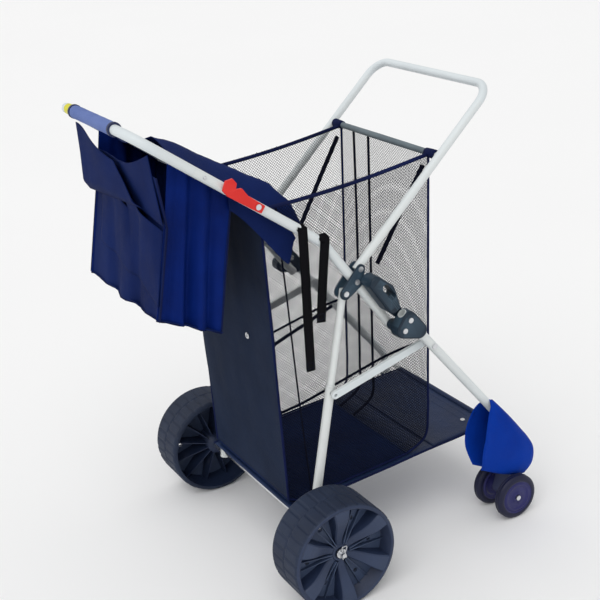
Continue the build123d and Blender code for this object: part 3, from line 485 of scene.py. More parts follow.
def wheel_drum(wheel):
    """Tread and lips, and the liner inside the drum."""
    side, sign, centre, inner, outer, web = wheel
    edge = [(inner, DRUM_RADIUS), (inner, WHEEL_RADIUS - 6), (inner + 1.8, WHEEL_RADIUS - 2.2),
            (inner + 6, WHEEL_RADIUS - 0.2)]
    tread = [(mix(inner + SHOULDER, outer - SHOULDER, k / TREAD_ROWS), WHEEL_RADIUS)
             for k in range(TREAD_ROWS + 1)]
    lip = [(outer - 6, WHEEL_RADIUS - 0.2), (outer - 1.8, WHEEL_RADIUS - 2.2), (outer, WHEEL_RADIUS - 6),
           (outer, DRUM_RADIUS + 2.5), (outer - 1.5, DRUM_RADIUS), (web + 6, DRUM_RADIUS - 1.5),
           (web + 5.2, DRUM_RADIUS - 4)]
    profile = [(sign * x, r) for x, r in edge + tread + lip]
    kinds = [0] * (len(edge) + len(tread) + 1) + [1] * (len(lip) - 1)
    wheel_middle = (inner + outer) / 2

    def cut(x, r, angle):
        return tread_cut(abs(x) - wheel_middle, angle) if r > WHEEL_RADIUS - 1 else 0.0

    drum = lathe(f"wheel_drum_{side}", profile, centre, [TREAD, WHEEL], kinds, 540, cut)
    wheel_piece(wheel, drum, f"rear_wheel_{side}")
    lining = [(inner, DRUM_RADIUS), (web - 6, DRUM_RADIUS - 1), (web, DRUM_RADIUS - 3)]
    liner = lathe(f"wheel_liner_{side}", [(sign * x, r) for x, r in lining], centre, [WHEEL])
    wheel_piece(wheel, liner)


def wheel_web(wheel):
    """Flat web across the drum, open for the hub and with six round holes."""
    plate = bmesh.new()
    centre = wheel.centre
    x = wheel.sign * (wheel.web + WEB_THICKNESS) * MM

    def ring(y, z, radius, steps):
        angles = [2 * pi * i / steps for i in range(steps)]
        points = [plate.verts.new((x, y + radius * cos(a), z + radius * sin(a))) for a in angles]
        for i in range(steps):
            plate.edges.new((points[i], points[(i + 1) % steps]))

    ring(centre.y, centre.z, (DRUM_RADIUS - 0.5) * MM, 96)
    ring(centre.y, centre.z, HUB_RADIUS * MM, 48)
    for k in range(SPOKE_COUNT):
        angle = SPOKE_ANGLE * k
        hole_y = centre.y + HOLE_CIRCLE * MM * cos(angle)
        ring(hole_y, centre.z + HOLE_CIRCLE * MM * sin(angle), HOLE_RADIUS * MM, 24)
    bmesh.ops.triangle_fill(plate, use_beauty=True, use_dissolve=False, edges=plate.edges[:])
    walls = bmesh.ops.extrude_face_region(plate, geom=plate.faces[:])
    for item in walls["geom"]:
        if isinstance(item, bmesh.types.BMVert):
            item.co.x -= wheel.sign * WEB_THICKNESS * MM
    bmesh.ops.recalc_face_normals(plate, faces=plate.faces[:])
    mesh = bpy.data.meshes.new(f"wheel_web_{wheel.side}")
    plate.to_mesh(mesh)
    plate.free()
    mesh.materials.append(WHEEL)
    disc = bpy.data.objects.new(mesh.name, mesh)
    bpy.context.scene.collection.objects.link(disc)
    wheel_piece(wheel, disc)


def wheel_hub(wheel):
    side, sign, centre, inner, outer, web = wheel
    hub = [(inner + 6, 5.5), (inner + 6, 20), (web, 22), (web + 12, 21), (outer - 25, 18), (outer - 23, 16.5),
           (outer - 24, 12), (outer - 28, 11), (outer - 28, 5.5)]
    profile = [(sign * x, r) for x, r in hub]
    wheel_piece(wheel, lathe(f"wheel_hub_{side}", profile, centre, [WHEEL], None, 64))


def radial_point(wheel, angle, distance, offset, x):
    """Point out along a radius of the wheel, offset to its side, at x from the cart's middle."""
    out = Vector((0, cos(angle), sin(angle)))
    flat = Vector((0, -sin(angle), cos(angle)))
    place = wheel.centre + (out * distance + flat * offset) * MM
    return (wheel.sign * x * MM, place.y, place.z)


def facing(wheel, a, b, c, d):
    """The corners in the order that makes a face look outwards on either side of the cart."""
    return (a, b, c, d) if wheel.sign > 0 else (a, d, c, b)


def wheel_spokes(wheel):
    """Spokes, broad and proud at the rim and narrow at the hub, with two thin ribs in each pocket."""
    outer, web = wheel.outer, wheel.web
    foot = web + 4
    vertices, faces = [], []
    for k in range(SPOKE_COUNT):
        angle = pi / 2 + SPOKE_ANGLE * k
        base = len(vertices)
        for s in range(SPOKE_STEPS + 1):
            share = s / SPOKE_STEPS
            distance = mix(15, DRUM_RADIUS + 1, share)
            half = mix(7.5, 18.5, share ** 1.35)
            top = mix(outer - 26, outer - 1.2, smooth(share * 1.15))
            section = [(-half - 1.5, web + 3), (-half, top - 2.5), (-half + 2.5, top), (half - 2.5, top),
                       (half, top - 2.5), (half + 1.5, web + 3)]
            vertices += [radial_point(wheel, angle, distance, offset, x) for offset, x in section]
        for s in range(SPOKE_STEPS):
            for i in range(5):
                a = base + s * 6 + i
                faces.append(facing(wheel, a, a + 6, a + 7, a + 1))
        for turn in (-0.17, 0.17):
            rib_angle = angle + SPOKE_ANGLE / 2 + turn * 0.62
            base = len(vertices)
            for distance, height in ((HUB_RADIUS, 13), (DRUM_RADIUS - 1, 5)):
                section = [(-1.1, foot), (-0.8, foot + height), (0.8, foot + height), (1.1, foot)]
                vertices += [radial_point(wheel, rib_angle, distance, offset, x) for offset, x in section]
            for a in range(base, base + 3):
                faces.append(facing(wheel, a, a + 4, a + 5, a + 1))
    wheel_piece(wheel, make(f"wheel_spokes_{wheel.side}", vertices, faces, [WHEEL], smooth_shading=False))


def wheel_ribs(wheel):
    """Radial ribs behind the web, two to a spoke."""
    web = wheel.web
    vertices, faces = [], []
    for k in range(2 * SPOKE_COUNT):
        angle = SPOKE_ANGLE / 2 * k + SPOKE_ANGLE / 4
        base = len(vertices)
        for distance, depth in ((HUB_RADIUS, 46), (DRUM_RADIUS - 0.5, 26)):
            section = [(-1.2, web + 1), (-1.0, web - depth), (1.0, web - depth), (1.2, web + 1)]
            vertices += [radial_point(wheel, angle, distance, offset, x) for offset, x in section]
        for i in range(4):
            a, b = base + i, base + (i + 1) % 4
            faces.append((a, b, b + 4, a + 4))
        faces.append((base + 3, base + 2, base + 1, base))
        faces.append((base + 4, base + 5, base + 6, base + 7))
    wheel_piece(wheel, make(f"wheel_ribs_{wheel.side}", vertices, faces, [WHEEL], smooth_shading=False))


def rear_wheel(side, sign):
    low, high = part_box(f"rear_wheel_{side}")
    inner, outer = sorted((abs(low.x) / MM, abs(high.x) / MM))
    wheel = Wheel(side, sign, (low + high) / 2, inner, outer, inner + WEB_DEPTH)
    for part in (wheel_drum, wheel_web, wheel_hub, wheel_spokes, wheel_ribs):
        part(wheel)


# ---------------------------------------------------------------- caster wheels
DISC_ROWS = 12


def caster_wheel(place, side):
    """Solid caster wheel: raised hub, sunken ring, coloured disc and rounded rim, the same on both faces."""
    name = f"caster_wheel_{place}_{side}"
    centre = middle(name)
    half, _, radius = half_size(name)
    x = centre.x / MM
    face = [(half - 3.0, 5), (half - 1.0, 5.2), (half - 0.6, 9), (half - 1.6, 11.5), (half - 3.4, 13),
            (half - 3.6, 25), (half - 3.3, 26), (half - 1.2, 27.5), (half - 0.6, 30), (half - 1.2, 32.5),
            (half - 3.0, 34), (half - 3.4, 35.5), (half - 0.8, 37.5), (half - 0.2, 41), (half - 1.2, 45),
            (half - 4.0, radius - 1.6), (half - 6.5, radius - 0.1), (2.2, radius), (1.4, radius - 0.9)]
    profile = [(x + dx, r) for dx, r in face] + [(x - dx, r) for dx, r in reversed(face)]
    kinds = [1] * DISC_ROWS + [0] * (len(profile) - 1 - 2 * DISC_ROWS) + [1] * DISC_ROWS
    wheel = lathe(name.replace("caster_wheel", "caster_roller"), profile, centre, [CASTER, DISC], kinds)
    carry(wheel, name, "caster_plastic", name)


for side, sign in SIDES:
    rear_wheel(side, sign)
    for place in ("outer", "inner"):
        caster_wheel(place, side)


# ---------------------------------------------------------------- basket
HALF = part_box("basket_side_panel_right")[1].x / MM
REAR_TOP = ((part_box("rear_rim_bar")[0].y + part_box("rear_rim_bar")[1].y) / 2 - AXLE.y) / MM
RIM_REAR_Z = middle("rear_rim_bar").z / MM
ROD = middle("front_rim_rod")
ROD_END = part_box("front_rim_rod")[1].x / MM
FRONT_TOP = ahead_of_axle(ROD.y)
RIM_FRONT_Z = ROD.z / MM
FLOOR_LOW, FLOOR_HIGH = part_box("basket_floor")
FLOOR_REAR = ahead_of_axle(FLOOR_LOW.y)
FLOOR_FRONT = ahead_of_axle(FLOOR_HIGH.y)
FLOOR_REAR_Z = FLOOR_LOW.z / MM + 1
FLOOR_FRONT_Z = FLOOR_HIGH.z / MM - 1
RIM_DROP = 3
FOOT_INSET = 2
NET_PITCH = 4.6
NET_RADIUS = 0.40
NET_STEP = 4.0
NET_KEEPS = 4
NET_INSET = 1.5
CORNER, REAR_CORNER = 55.0, 14.0


def rounded(before, corner, after, radius, steps=8):
    """Corner replaced by an arc-like curve between the two straight edges."""
    def toward(a, b):
        length = hypot(b[0] - a[0], b[1] - a[1])
        return mix2(a, b, min(1.0, radius / length))
    start, end = toward(corner, before), toward(corner, after)
    shares = [i / steps for i in range(steps + 1)]
    return [mix2(mix2(start, corner, t), mix2(corner, end, t), t) for t in shares]


# Side outline of the basket: along the rim, down the front, round the corner, back along the floor
rear_top, rear_low = (REAR_TOP, RIM_REAR_Z - RIM_DROP), (FLOOR_REAR - FOOT_INSET, FLOOR_REAR_Z)
front_top, front_low = (FRONT_TOP, RIM_FRONT_Z - RIM_DROP), (FLOOR_FRONT - FOOT_INSET, FLOOR_FRONT_Z)
low_corner = rounded(front_top, front_low, rear_low, CORNER)
rear_corner = rounded(front_low, rear_low, rear_top, REAR_CORNER, 4)
front_path = [front_top] + low_corner
floor_path = [low_corner[-1]] + rear_corner
rear_path = [rear_corner[-1], rear_top]
side_outline = [rear_top, front_top] + low_corner + rear_corner
front_length = sum(hypot(b[0] - a[0], b[1] - a[1]) for a, b in zip(front_path, front_path[1:]))
basket_pieces = []


def sew_on(obj, slot, *nodes):
    """Basket piece that the lower frame carries."""
    basket_pieces.append(carry(obj, "lower_frame", slot, *nodes))


def fold_away(obj):
    """Give a basket piece its own copy of its mesh."""
    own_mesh(obj)


def inside(point, outline):
    """Whether a flat point lies in a polygon."""
    y, z = point
    odd = False
    for (y0, z0), (y1, z1) in zip(outline, outline[1:] + outline[:1]):
        if (z0 > z) != (z1 > z) and y < (y1 - y0) * (z - z0) / (z1 - z0) + y0:
            odd = not odd
    return odd


def net(name, outline, lift):
    """Netting of two sets of slanted cords, cut to a flat outline and lifted into place."""
    low = (min(p[0] for p in outline), min(p[1] for p in outline))
    high = (max(p[0] for p in outline), max(p[1] for p in outline))
    spacing = NET_PITCH * sqrt(2)
    count = int((high[0] - low[0]) / NET_STEP)
    runs = []
    for slope in (1, -1):
        first = (low[1] - high[0]) if slope > 0 else (low[0] + low[1])
        last = (high[1] - low[0]) if slope > 0 else (high[0] + high[1])
        for k in range(int((last - first) / spacing) + 1):
            shift = first + k * spacing
            run = []
            for i in range(count + 1):
                a = low[0] + i * NET_STEP
                point = (a, a + shift) if slope > 0 else (a, shift - a)
                if inside(point, outline):
                    run.append(point)
                elif run:
                    runs.append(run)
                    run = []
            if run:
                runs.append(run)
    lifted = []
    for run in runs:
        if len(run) > 1:
            kept = run[::NET_KEEPS] + ([run[-1]] if (len(run) - 1) % NET_KEEPS else [])
            lifted.append([lift(*point) for point in kept])
    return wires(name, lifted, NET_RADIUS, NET)


def slack(y, z, side):
    """How far a side panel hangs inwards, with soft ripples."""
    v = (z - FLOOR_REAR_Z) / (RIM_REAR_Z - FLOOR_REAR_Z)
    u = (y - FLOOR_REAR) / (FRONT_TOP - FLOOR_REAR)
    hang = 9 * sin(pi * min(1, max(0, u))) * sin(pi * min(1, max(0, v)))
    return hang + 2.5 * noise.noise(Vector((y * 0.011, z * 0.006, side * 3.1)))


def on_side(sign, y, z, gap=0.0):
    """Point of a side net, or a gap inside it."""
    return at(sign * (HALF - NET_INSET - slack(y, z, sign) - gap), y, z)


def front_lift(x, s):
    """Point of the front net, s down its length from the rim."""
    y, z = along(front_path, s / front_length)
    sag = 8 * sin(pi * min(1.0, s / front_length)) * cos(pi * x / (2 * HALF))
    return at(x, y - sag, z)


def rear_point(u, v):
    """Rear panel: u from the left to the right, v from the floor up."""
    y, z = along(rear_path, v)
    x = mix(-HALF, HALF, u)
    ripple = 5 * sin(pi * v) * sin(5.3 * u + 0.8) + 3.5 * noise.noise(Vector((x * 0.02, z * 0.006, 4.2)))
    return at(x, y - ripple * sin(pi * v) - 6 * sin(pi * v) * sin(pi * u), z)


def floor_point(u, v):
    """Basket floor: u from the left to the right, v from the front back."""
    y, z = along(floor_path, v)
    return at(mix(-HALF, HALF, u), y, z + 1.0 * sin(pi * u) * sin(pi * v))


def basket_cloths():
    for side, sign in SIDES:
        panel = net(f"basket_net_{side}", side_outline, lambda y, z: on_side(sign, y, z))
        sew_on(panel, "navy_mesh", f"basket_side_panel_{side}")
    front_outline = [(-HALF, 0), (HALF, 0), (HALF, front_length), (-HALF, front_length)]
    sew_on(net("basket_net_front", front_outline, front_lift), "navy_mesh", "basket_front_panel")
    width = 2 * HALF * MM
    rear_panel = surface("basket_rear_cloth", rear_point, 60, 90, (width, 0.63), REAR, 0.0012)
    sew_on(rear_panel, "navy_fabric", "basket_rear_panel")
    floor_cloth = surface("basket_floor_cloth", floor_point, 30, 36, (width, 0.33), FLOOR_CLOTH, 0.0014)
    sew_on(floor_cloth, "navy_fabric", "basket_floor")


def rim_point(sign, u):
    """Point of a side's upper hem, from the rear to the front."""
    z = mix(RIM_REAR_Z - 4, RIM_FRONT_Z - 2, u) - 7 * sin(pi * u)
    return at(sign * mix(HALF, HALF + 2, u), mix(REAR_TOP, FRONT_TOP, u), z)


def edge_points(sign, path, steps):
    """Points along one edge of a side panel."""
    return [at(sign * (HALF - 0.5), *along(path, k / steps)) for k in range(steps + 1)]


def piping(name, points, radius):
    """Rolled hem through the points."""
    sew_on(wires(name, [eased(points, EASING)], radius, BINDING, 2), "navy_fabric")


def basket_bindings():
    """Hems along the rim and the edges, and the sleeves on the ends of the front rim rod."""
    for side, sign in SIDES:
        piping(f"rim_binding_{side}", [rim_point(sign, k / 8) for k in range(9)], 4.2)
        piping(f"front_edge_binding_{side}", edge_points(sign, front_path, 12), 2.6)
        piping(f"rear_edge_binding_{side}", edge_points(sign, rear_path, 6), 2.8)
        piping(f"floor_edge_binding_{side}", edge_points(sign, floor_path, 8), 2.4)
        profile = [(HALF - 8, 5.6), (HALF - 6, 8.6), (HALF + 6, 9.4), (ROD_END - 4, 9.8), (ROD_END - 1, 6.0)]
        profile = [(sign * x, r) for x, r in profile]
        sleeve = lathe(f"rim_corner_sleeve_{side}", profile, ROD, [BINDING], None, 32)
        carry(sleeve, "hoop", "navy_fabric")


def rim_covers():
    """Cloth channel over the front rim rod, paler than the rest, and the band round the rear bar."""
    pale = hard("rod_cover", (0.16, 0.20, 0.22), (0.11, 0.14, 0.16), 0.6, 900, 0.5)
    profile = [(-HALF + 6, 5.3), (-HALF + 7, 6.4), (0, 6.8), (HALF - 7, 6.4), (HALF - 6, 5.3)]
    carry(lathe("front_rim_channel", profile, ROD, [pale], None, 32), "hoop", "navy_fabric")
    profile = [(-HALF, 6.4), (-HALF + 2, 8.0), (0, 8.4), (HALF - 2, 8.0), (HALF, 6.4)]
    bar_cover = lathe("rear_bar_cover", profile, middle("rear_rim_bar"), [NAVY], None, 32)
    carry(bar_cover, "handle", "navy_fabric")


TAPE_GAP, SEAM_GAP = 1.6, -1.4
TAPE_THICKNESS = 1.2
FRONT_TAPES = (-118, -60)


def side_line(sign, start, end, steps, gap=TAPE_GAP, bend=lambda share: share):
    """Points on a side net from start to end, both (y, z)."""
    shares = [k / steps for k in range(steps + 1)]
    return [on_side(sign, mix(start[0], end[0], k), mix(start[1], end[1], bend(k)), gap) for k in shares]


def tape(name, points, width, side_direction):
    sew_on(band(name, points, width, side_direction, TAPE_THICKNESS, TAPE), "navy_fabric")


def basket_tapes():
    """Tapes sewn on the netting."""
    for side, sign in SIDES:
        seam = side_line(sign, (26, FLOOR_REAR_Z + 5), (12, RIM_REAR_Z - 6), 6, SEAM_GAP)
        tape(f"side_seam_{side}", seam, 3.5, FORWARD)
        slanted = side_line(sign, (348, 800), (230, 620), 6)
        tape(f"corner_tape_{side}", slanted, 11, Vector((0, 0.6, -0.8)))
        tape(f"side_belt_{side}", side_line(sign, (-22, 372), (318, 420), 8, bend=smooth), 6, UPWARD)
        tape(f"upper_belt_{side}", side_line(sign, (-24, 520), (120, 560), 5), 8, UPWARD)
    for k, x in enumerate(FRONT_TAPES):
        steps = [front_length * j / 10 for j in range(11)]
        line = [front_lift(x + 14 * sin(s / front_length * 3), s) + Vector((0, 0.003, 0)) for s in steps]
        tape(f"front_tape_{k}", line, 9, ACROSS)


basket_cloths()
basket_bindings()
rim_covers()
basket_tapes()
for obj in basket_pieces:
    fold_away(obj)


# ---------------------------------------------------------------- shelf
SHELF_LOW, SHELF_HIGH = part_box("shelf")
SHELF_X = SHELF_HIGH.x / MM
SHELF_Y0, SHELF_Y1 = ahead_of_axle(SHELF_LOW.y), ahead_of_axle(SHELF_HIGH.y)
SHELF_Z0, SHELF_Z1 = SHELF_LOW.z / MM + 2, SHELF_HIGH.z / MM - 2.6
SHELF_LENGTH = SHELF_Y1 - SHELF_Y0
APRON_START = (front_low[0] + 6 - SHELF_Y0) / SHELF_LENGTH
STITCH_LENGTH, STITCH_RADIUS = 3.2, 0.35


def shelf_point(u, v, lift=0.0):
    """u from the left to the right, v from the rear to the front."""
    x = mix(-SHELF_X, SHELF_X, u)
    y = mix(SHELF_Y0, SHELF_Y1, v)
    edge_rise = 1.4 * (2 * abs(u - 0.5)) ** 6
    wave = 1.1 * noise.noise(Vector((x * 0.012, y * 0.012, 1.7)))
    return at(x, y, mix(SHELF_Z0, SHELF_Z1, v) + lift + edge_rise + wave - 1.6 * sin(pi * v) * sin(pi * u))


def apron_point(u, v):
    return shelf_point(mix(0.012, 0.988, u), mix(APRON_START, 0.995, v), 1.7)


def shelf():
    width = 2 * SHELF_X * MM
    cloth_piece = surface("shelf_cloth", shelf_point, 60, 80, (width, SHELF_LENGTH * MM), SHELF, 0.0016)
    carry(cloth_piece, "lower_frame", "navy_fabric", "shelf")
    apron_size = (width, (1 - APRON_START) * SHELF_LENGTH * MM)
    apron = surface("shelf_apron", apron_point, 50, 24, apron_size, SHELF, 0.0009)
    carry(apron, "lower_frame", "navy_fabric")
    edges = [[shelf_point(u, k / 24) for k in range(25)] for u in (0, 1)]
    carry(wires("shelf_side_hems", edges, 2.3, BINDING, 2), "lower_frame", "navy_fabric")
    profile = [(-SHELF_X, 5.3), (-SHELF_X + 1.5, 6.6), (-60, 7.0),
               (70, 6.8), (SHELF_X - 1.5, 6.6), (SHELF_X, 5.3)]
    rod_sleeve = lathe("shelf_front_sleeve", profile, middle("front_cross_rod"), [SHELF], None, 40)
    carry(rod_sleeve, "lower_frame", "navy_fabric")
    for k, v in enumerate((0.93, 0.965)):
        row = [shelf_point(j / 20, v, 2.4) for j in range(21)]
        stitches(f"shelf_hem_stitch_{k}", row, STITCH_LENGTH, STITCH_RADIUS, "lower_frame")
    for k, u in enumerate((0.035, 0.965)):
        row = [shelf_point(u, 0.04 + 0.9 * j / 20, 2.6) for j in range(21)]
        stitches(f"shelf_side_stitch_{k}", row, STITCH_LENGTH, STITCH_RADIUS, "lower_frame")
    snap = lathe("shelf_snap", [(0.0, 0.4), (0.8, 3.2), (1.6, 4.6), (0.4, 5.4)], Vector(), [STEEL], None, 24)
    snap.matrix_world = Matrix.Translation(shelf_point(0.86, 0.93, 2.6)) @ Matrix.Rotation(-pi / 2, 4, "Y")
    carry(snap, "lower_frame", "zinc_steel")


shelf()


# ---------------------------------------------------------------- foam grip
FOAM_BORE = 9.7


def foam_dent(x, r, angle):
    """Small uneven dents all over the foam, for a surface of revolution."""
    return 0.35 + 0.35 * noise.noise(Vector((x * 0.05, 2.0 * cos(angle), 2.0 * sin(angle))))


foam_half, _, foam_radius = half_size("foam_grip")
foam_end = [(foam_half, FOAM_BORE), (foam_half - 0.3, foam_radius - 1.6),
            (foam_half - 1.6, foam_radius - 0.2)]
foam_profile = [(-x, r) for x, r in foam_end]
foam_profile += [(mix(-foam_half + 4, foam_half - 4, k / 40), foam_radius) for k in range(41)]
foam_profile += list(reversed(foam_end))
foam = lathe("foam_sleeve", foam_profile, middle("foam_grip"), [FOAM], None, 64, foam_dent)
carry(foam, "handle", "blue_foam", "foam_grip")


# ---------------------------------------------------------------- webbing tails
WEBBING_WIDTH, WEBBING_THICKNESS = 20, 1.5


def webbing_tail(strap):
    """Tail looped over the handle tube, hanging down and sewn with a box of stitches at its end."""
    low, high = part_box(strap)
    x = (low.x + high.x) / 2 / MM
    y0, y1 = ahead_of_axle(low.y), ahead_of_axle(high.y)
    z0, z1 = low.z / MM, high.z / MM
    loop = [at(x - 19, y1 - 14, z1 + 1), at(x - 10, y1 - 12, z1 + 9), at(x - 1, y1 - 11, z1 + 2)]
    hanging = [at(x, y1 - 10, z1 - 4), at(x + 1.5, mix(y1, y0 + 20, 0.35) - 10, mix(z1, z0, 0.3)),
               at(x + 0.5, mix(y1, y0 + 20, 0.7) - 10, mix(z1, z0, 0.66)), at(x, y0 + 10, z0)]
    name = strap.replace("tail", "webbing")
    webbing = band(name, loop + hanging, WEBBING_WIDTH, FORWARD, WEBBING_THICKNESS, WEBBING)
    carry(webbing, "handle", "black_webbing", strap)
    corners = ((3, 6), (17, 6), (17, 18), (3, 18), (3, 6))
    box_stitch = [at(x + 1.3, y0 + dy, z0 + dz) for dy, dz in corners]
    stitches(strap.replace("tail", "stitch"), box_stitch, 2.2, 0.3, "handle")


for strap in ("strap_tail_rear", "strap_tail_front"):
    webbing_tail(strap)


# ---------------------------------------------------------------- tote behind the handle
# Side-view points are (y, z): y ahead of the rear axle, z above the ground
TOTE_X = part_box("tote")[1].x / MM
TOTE_THICKNESS = 0.0011
COLLAR_TOP, COLLAR_LOW, COLLAR_FOOT = (-236, 949), (-238, 828), (-227, 812)
HEEL, TOE = (-254, 642), (-130, 580)
POCKET_TOP, REAR_EDGE_TOP = (-214, 812), (-222, 905)
MOUTH_REAR, MOUTH_FRONT, TOTE_FRONT = (-190, 930), (-77, 840), (-93, 757)
BELL_BASE = 2.718
TUBE_COS, TUBE_SIN = 0.7804, 0.6252
BEND = (83, 716)
RIDGE = [(0.0, 26), (0.14, 34), (0.3, 37), (0.45, 42), (0.6, 46), (0.74, 53), (0.88, 42), (1.0, 14)]


def pleat(u, place, width):
    """Bell-shaped fold, 1 high at its place."""
    return BELL_BASE ** (-((u - place) / width) ** 2)


def off_edges(u):
    """0 at both edges of a sheet and 1 over most of it."""
    return smooth(u * 9) * smooth((1 - u) * 9)


def tote_rear(u, v):
    """Rear face: u from the far to the near side, v from the bottom up."""
    y, z = along([HEEL, POCKET_TOP, REAR_EDGE_TOP], v)
    x = mix(-TOTE_X, TOTE_X, u)
    belly = 7 * sin(pi * u) * sin(pi * min(1, v * 1.15))
    folds = 7 * pleat(u, 0.36 - 0.08 * v, 0.06) + 8 * pleat(u, 0.66 + 0.05 * v, 0.05)
    folds -= 4 * pleat(u, 0.5, 0.06)
    folds = folds * (1 - 0.6 * v) + 5 * noise.noise(Vector((x * 0.018, z * 0.009, 8.0)))
    return at(x, y + 3 - 0.35 * belly + folds * off_edges(u), z - 3 * sin(pi * u) * (1 - v))


def tote_side(sign):
    """Side face's function: u from the rear edge to the front edge, v from the bottom up."""
    def point(u, v):
        rear = along([HEEL, POCKET_TOP, MOUTH_REAR], v)
        front = along([TOE, TOTE_FRONT, MOUTH_FRONT], v)
        y, z = mix2(rear, front, u)
        hollow = 5 * sin(pi * u) * sin(pi * v)
        gathered = 0.35 + 0.65 * smooth(1.15 - v)
        drift = 0.10 * (1 - v)
        folds = 17 * pleat(u, 0.40 + drift, 0.075) + 12 * pleat(u, 0.72 + drift, 0.06)
        folds += 5 * pleat(u, 0.17, 0.05)
        folds -= 7 * pleat(u, 0.56 + drift, 0.07) + 4 * pleat(u, 0.28 + drift, 0.05)
        rumple = 2.0 * noise.noise(Vector((u * 5, v * 4, 3.0 + sign)))
        return at(sign * (TOTE_X - 9 - hollow - off_edges(u) * (gathered * folds + rumple)), y, z)
    return point


def tote_front(u, v):
    y, z = along([TOE, TOTE_FRONT, MOUTH_FRONT], v)
    x = mix(-TOTE_X + 8, TOTE_X - 8, u)
    return at(x, y - 3 - 8 * sin(pi * u) * sin(pi * v) + 3 * noise.noise(Vector((x * 0.02, z * 0.01, 3))), z)


def tote_bottom(u, v):
    y, z = mix2(HEEL, TOE, v)
    x = mix(-TOTE_X + 4, TOTE_X - 4, u)
    return at(x, y + 2, z + 2 + 5 * sin(pi * u) * sin(pi * v))


def collar(u, v):
    """Far flap: stands above the rear face, its free edge slanting back to the far side."""
    x = mix(-TOTE_X, mix(100, 2, v), u)
    y = along([COLLAR_FOOT, COLLAR_LOW, (-236, 890), COLLAR_TOP], v)[0]
    z = mix(mix(812, 834, u), mix(949, 906, smooth(u)), v)
    return at(x, y + 2.5 + 2.5 * sin(7 * u + 1) * v, z)


def near_flap(u, v):
    """Near flap: behind the far one, up to the underside of the near tube."""
    x = mix(mix(56, 0, v), mix(TOTE_X - 3, TOTE_X - 18, v), u)
    z = mix(mix(826, 816, u), mix(904, 944, u) - 8 * sin(pi * u), v)
    return at(x, mix(-218, -224, v) + 3 * sin(5 * u + 2) * v, z)


def pocket(corners, gape):
    """Slanted pocket panel on the rear face, between four of its (u, v) points, its lip standing open."""
    def point(u, v):
        low_edge = mix2(corners[0], corners[1], u)
        high_edge = mix2(corners[3], corners[2], u)
        open_lip = gape * smooth(v) * sin(pi * u)
        return tote_rear(*mix2(low_edge, high_edge, v)) + Vector((0, -(3.2 + open_lip) * MM, 0))
    return point


def tube_line(distance, offset):
    """Side-view point at a distance up the handle from its bend, offset upwards from the tube."""
    y = BEND[0] - TUBE_COS * distance + TUBE_SIN * offset
    return (y, BEND[1] + TUBE_SIN * distance + TUBE_COS * offset)


def cover(u, v):
    """Slack cover: u from the far tube to the near one, v from the tote's mouth to the bend."""
    crest = mix(0.5, 0.93, v ** 1.2)
    height = next(mix(a[1], b[1], (v - a[0]) / (b[0] - a[0])) for a, b in zip(RIDGE, RIDGE[1:]) if v <= b[0])
    height += 3.0 * noise.noise(Vector((v * 9, 0.5, 2.0)))
    if u < crest:
        share = u / crest
        lift = mix(11, height, smooth(share)) - 24 * sin(pi * share)
    else:
        lift = mix(height, -5, smooth((u - crest) / (1 - crest)))
    y, z = tube_line(mix(315, 32, v), lift + 1.5 * noise.noise(Vector((u * 7, v * 6, 2.0))))
    return at(mix(-186, 176, u), y, z)


def under_flap(u, v):
    """Flap that hangs from the cover's near edge between the tote and the bend."""
    y, z = tube_line(mix(215, 62, u), -3)
    depth = mix(34, 96, smooth(u)) * (1 - 0.72 * smooth((u - 0.8) / 0.2))
    return at(173 - 4 * sin(7 * u) * v, y + 12 * v * u, z - depth * v)


def tote_hems():
    """Rolled hems along the tote's lower edges and its corners."""
    near, far = tote_side(1), tote_side(-1)
    runs = [[tote_rear(k / 16, 0) for k in range(17)]]
    runs += [[side_face(k / 12, 0) for k in range(13)] for side_face in (near, far)]
    runs += [[near(1, k / 12) for k in range(13)]]
    runs += [[tote_rear(u, k / 14) for k in range(15)] for u in (1, 0)]
    return wires("tote_hems", runs, 1.8, BINDING, 2)


FAR_POCKET = pocket([(0.16, 0.30), (0.72, 0.20), (0.54, 0.66), (0.10, 0.94)], 9)
NEAR_POCKET = pocket([(0.60, 0.24), (0.985, 0.10), (0.97, 0.62), (0.50, 0.84)], 12)
BAG_SHEETS = (
    ("tote_rear_cloth", tote_rear, 60, 60, (0.35, 0.29), NAVY),
    ("tote_side_cloth_right", tote_side(1), 48, 60, (0.15, 0.32), ROYAL),
    ("tote_side_cloth_left", tote_side(-1), 48, 60, (0.15, 0.32), ROYAL),
    ("tote_front_cloth", tote_front, 40, 40, (0.35, 0.27), NAVY),
    ("tote_bottom_cloth", tote_bottom, 40, 16, (0.35, 0.14), NAVY),
    ("tote_collar", collar, 44, 24, (0.28, 0.13), NAVY),
    ("tote_near_flap", near_flap, 30, 24, (0.16, 0.12), NAVY),
    ("tote_pocket_far", FAR_POCKET, 30, 26, (0.19, 0.16), NAVY),
    ("tote_pocket_near", NEAR_POCKET, 30, 26, (0.17, 0.16), NAVY),
)
COVER_SHEETS = (
    ("tote_cover", cover, 44, 50, (0.36, 0.29), NAVY),
    ("tote_under_flap", under_flap, 36, 20, (0.15, 0.08), NAVY),
)
tote_parts = [surface(*sheet, TOTE_THICKNESS) for sheet in BAG_SHEETS]
tote_parts.append(tote_hems())
tote_parts += [surface(*sheet, TOTE_THICKNESS) for sheet in COVER_SHEETS]
for k, obj in enumerate(tote_parts):
    slot_name = "blue_fabric" if "side_cloth" in obj.name else "navy_fabric"
    carry(obj, "handle", slot_name, *(["tote"] if k == 0 else []))
    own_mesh(obj)


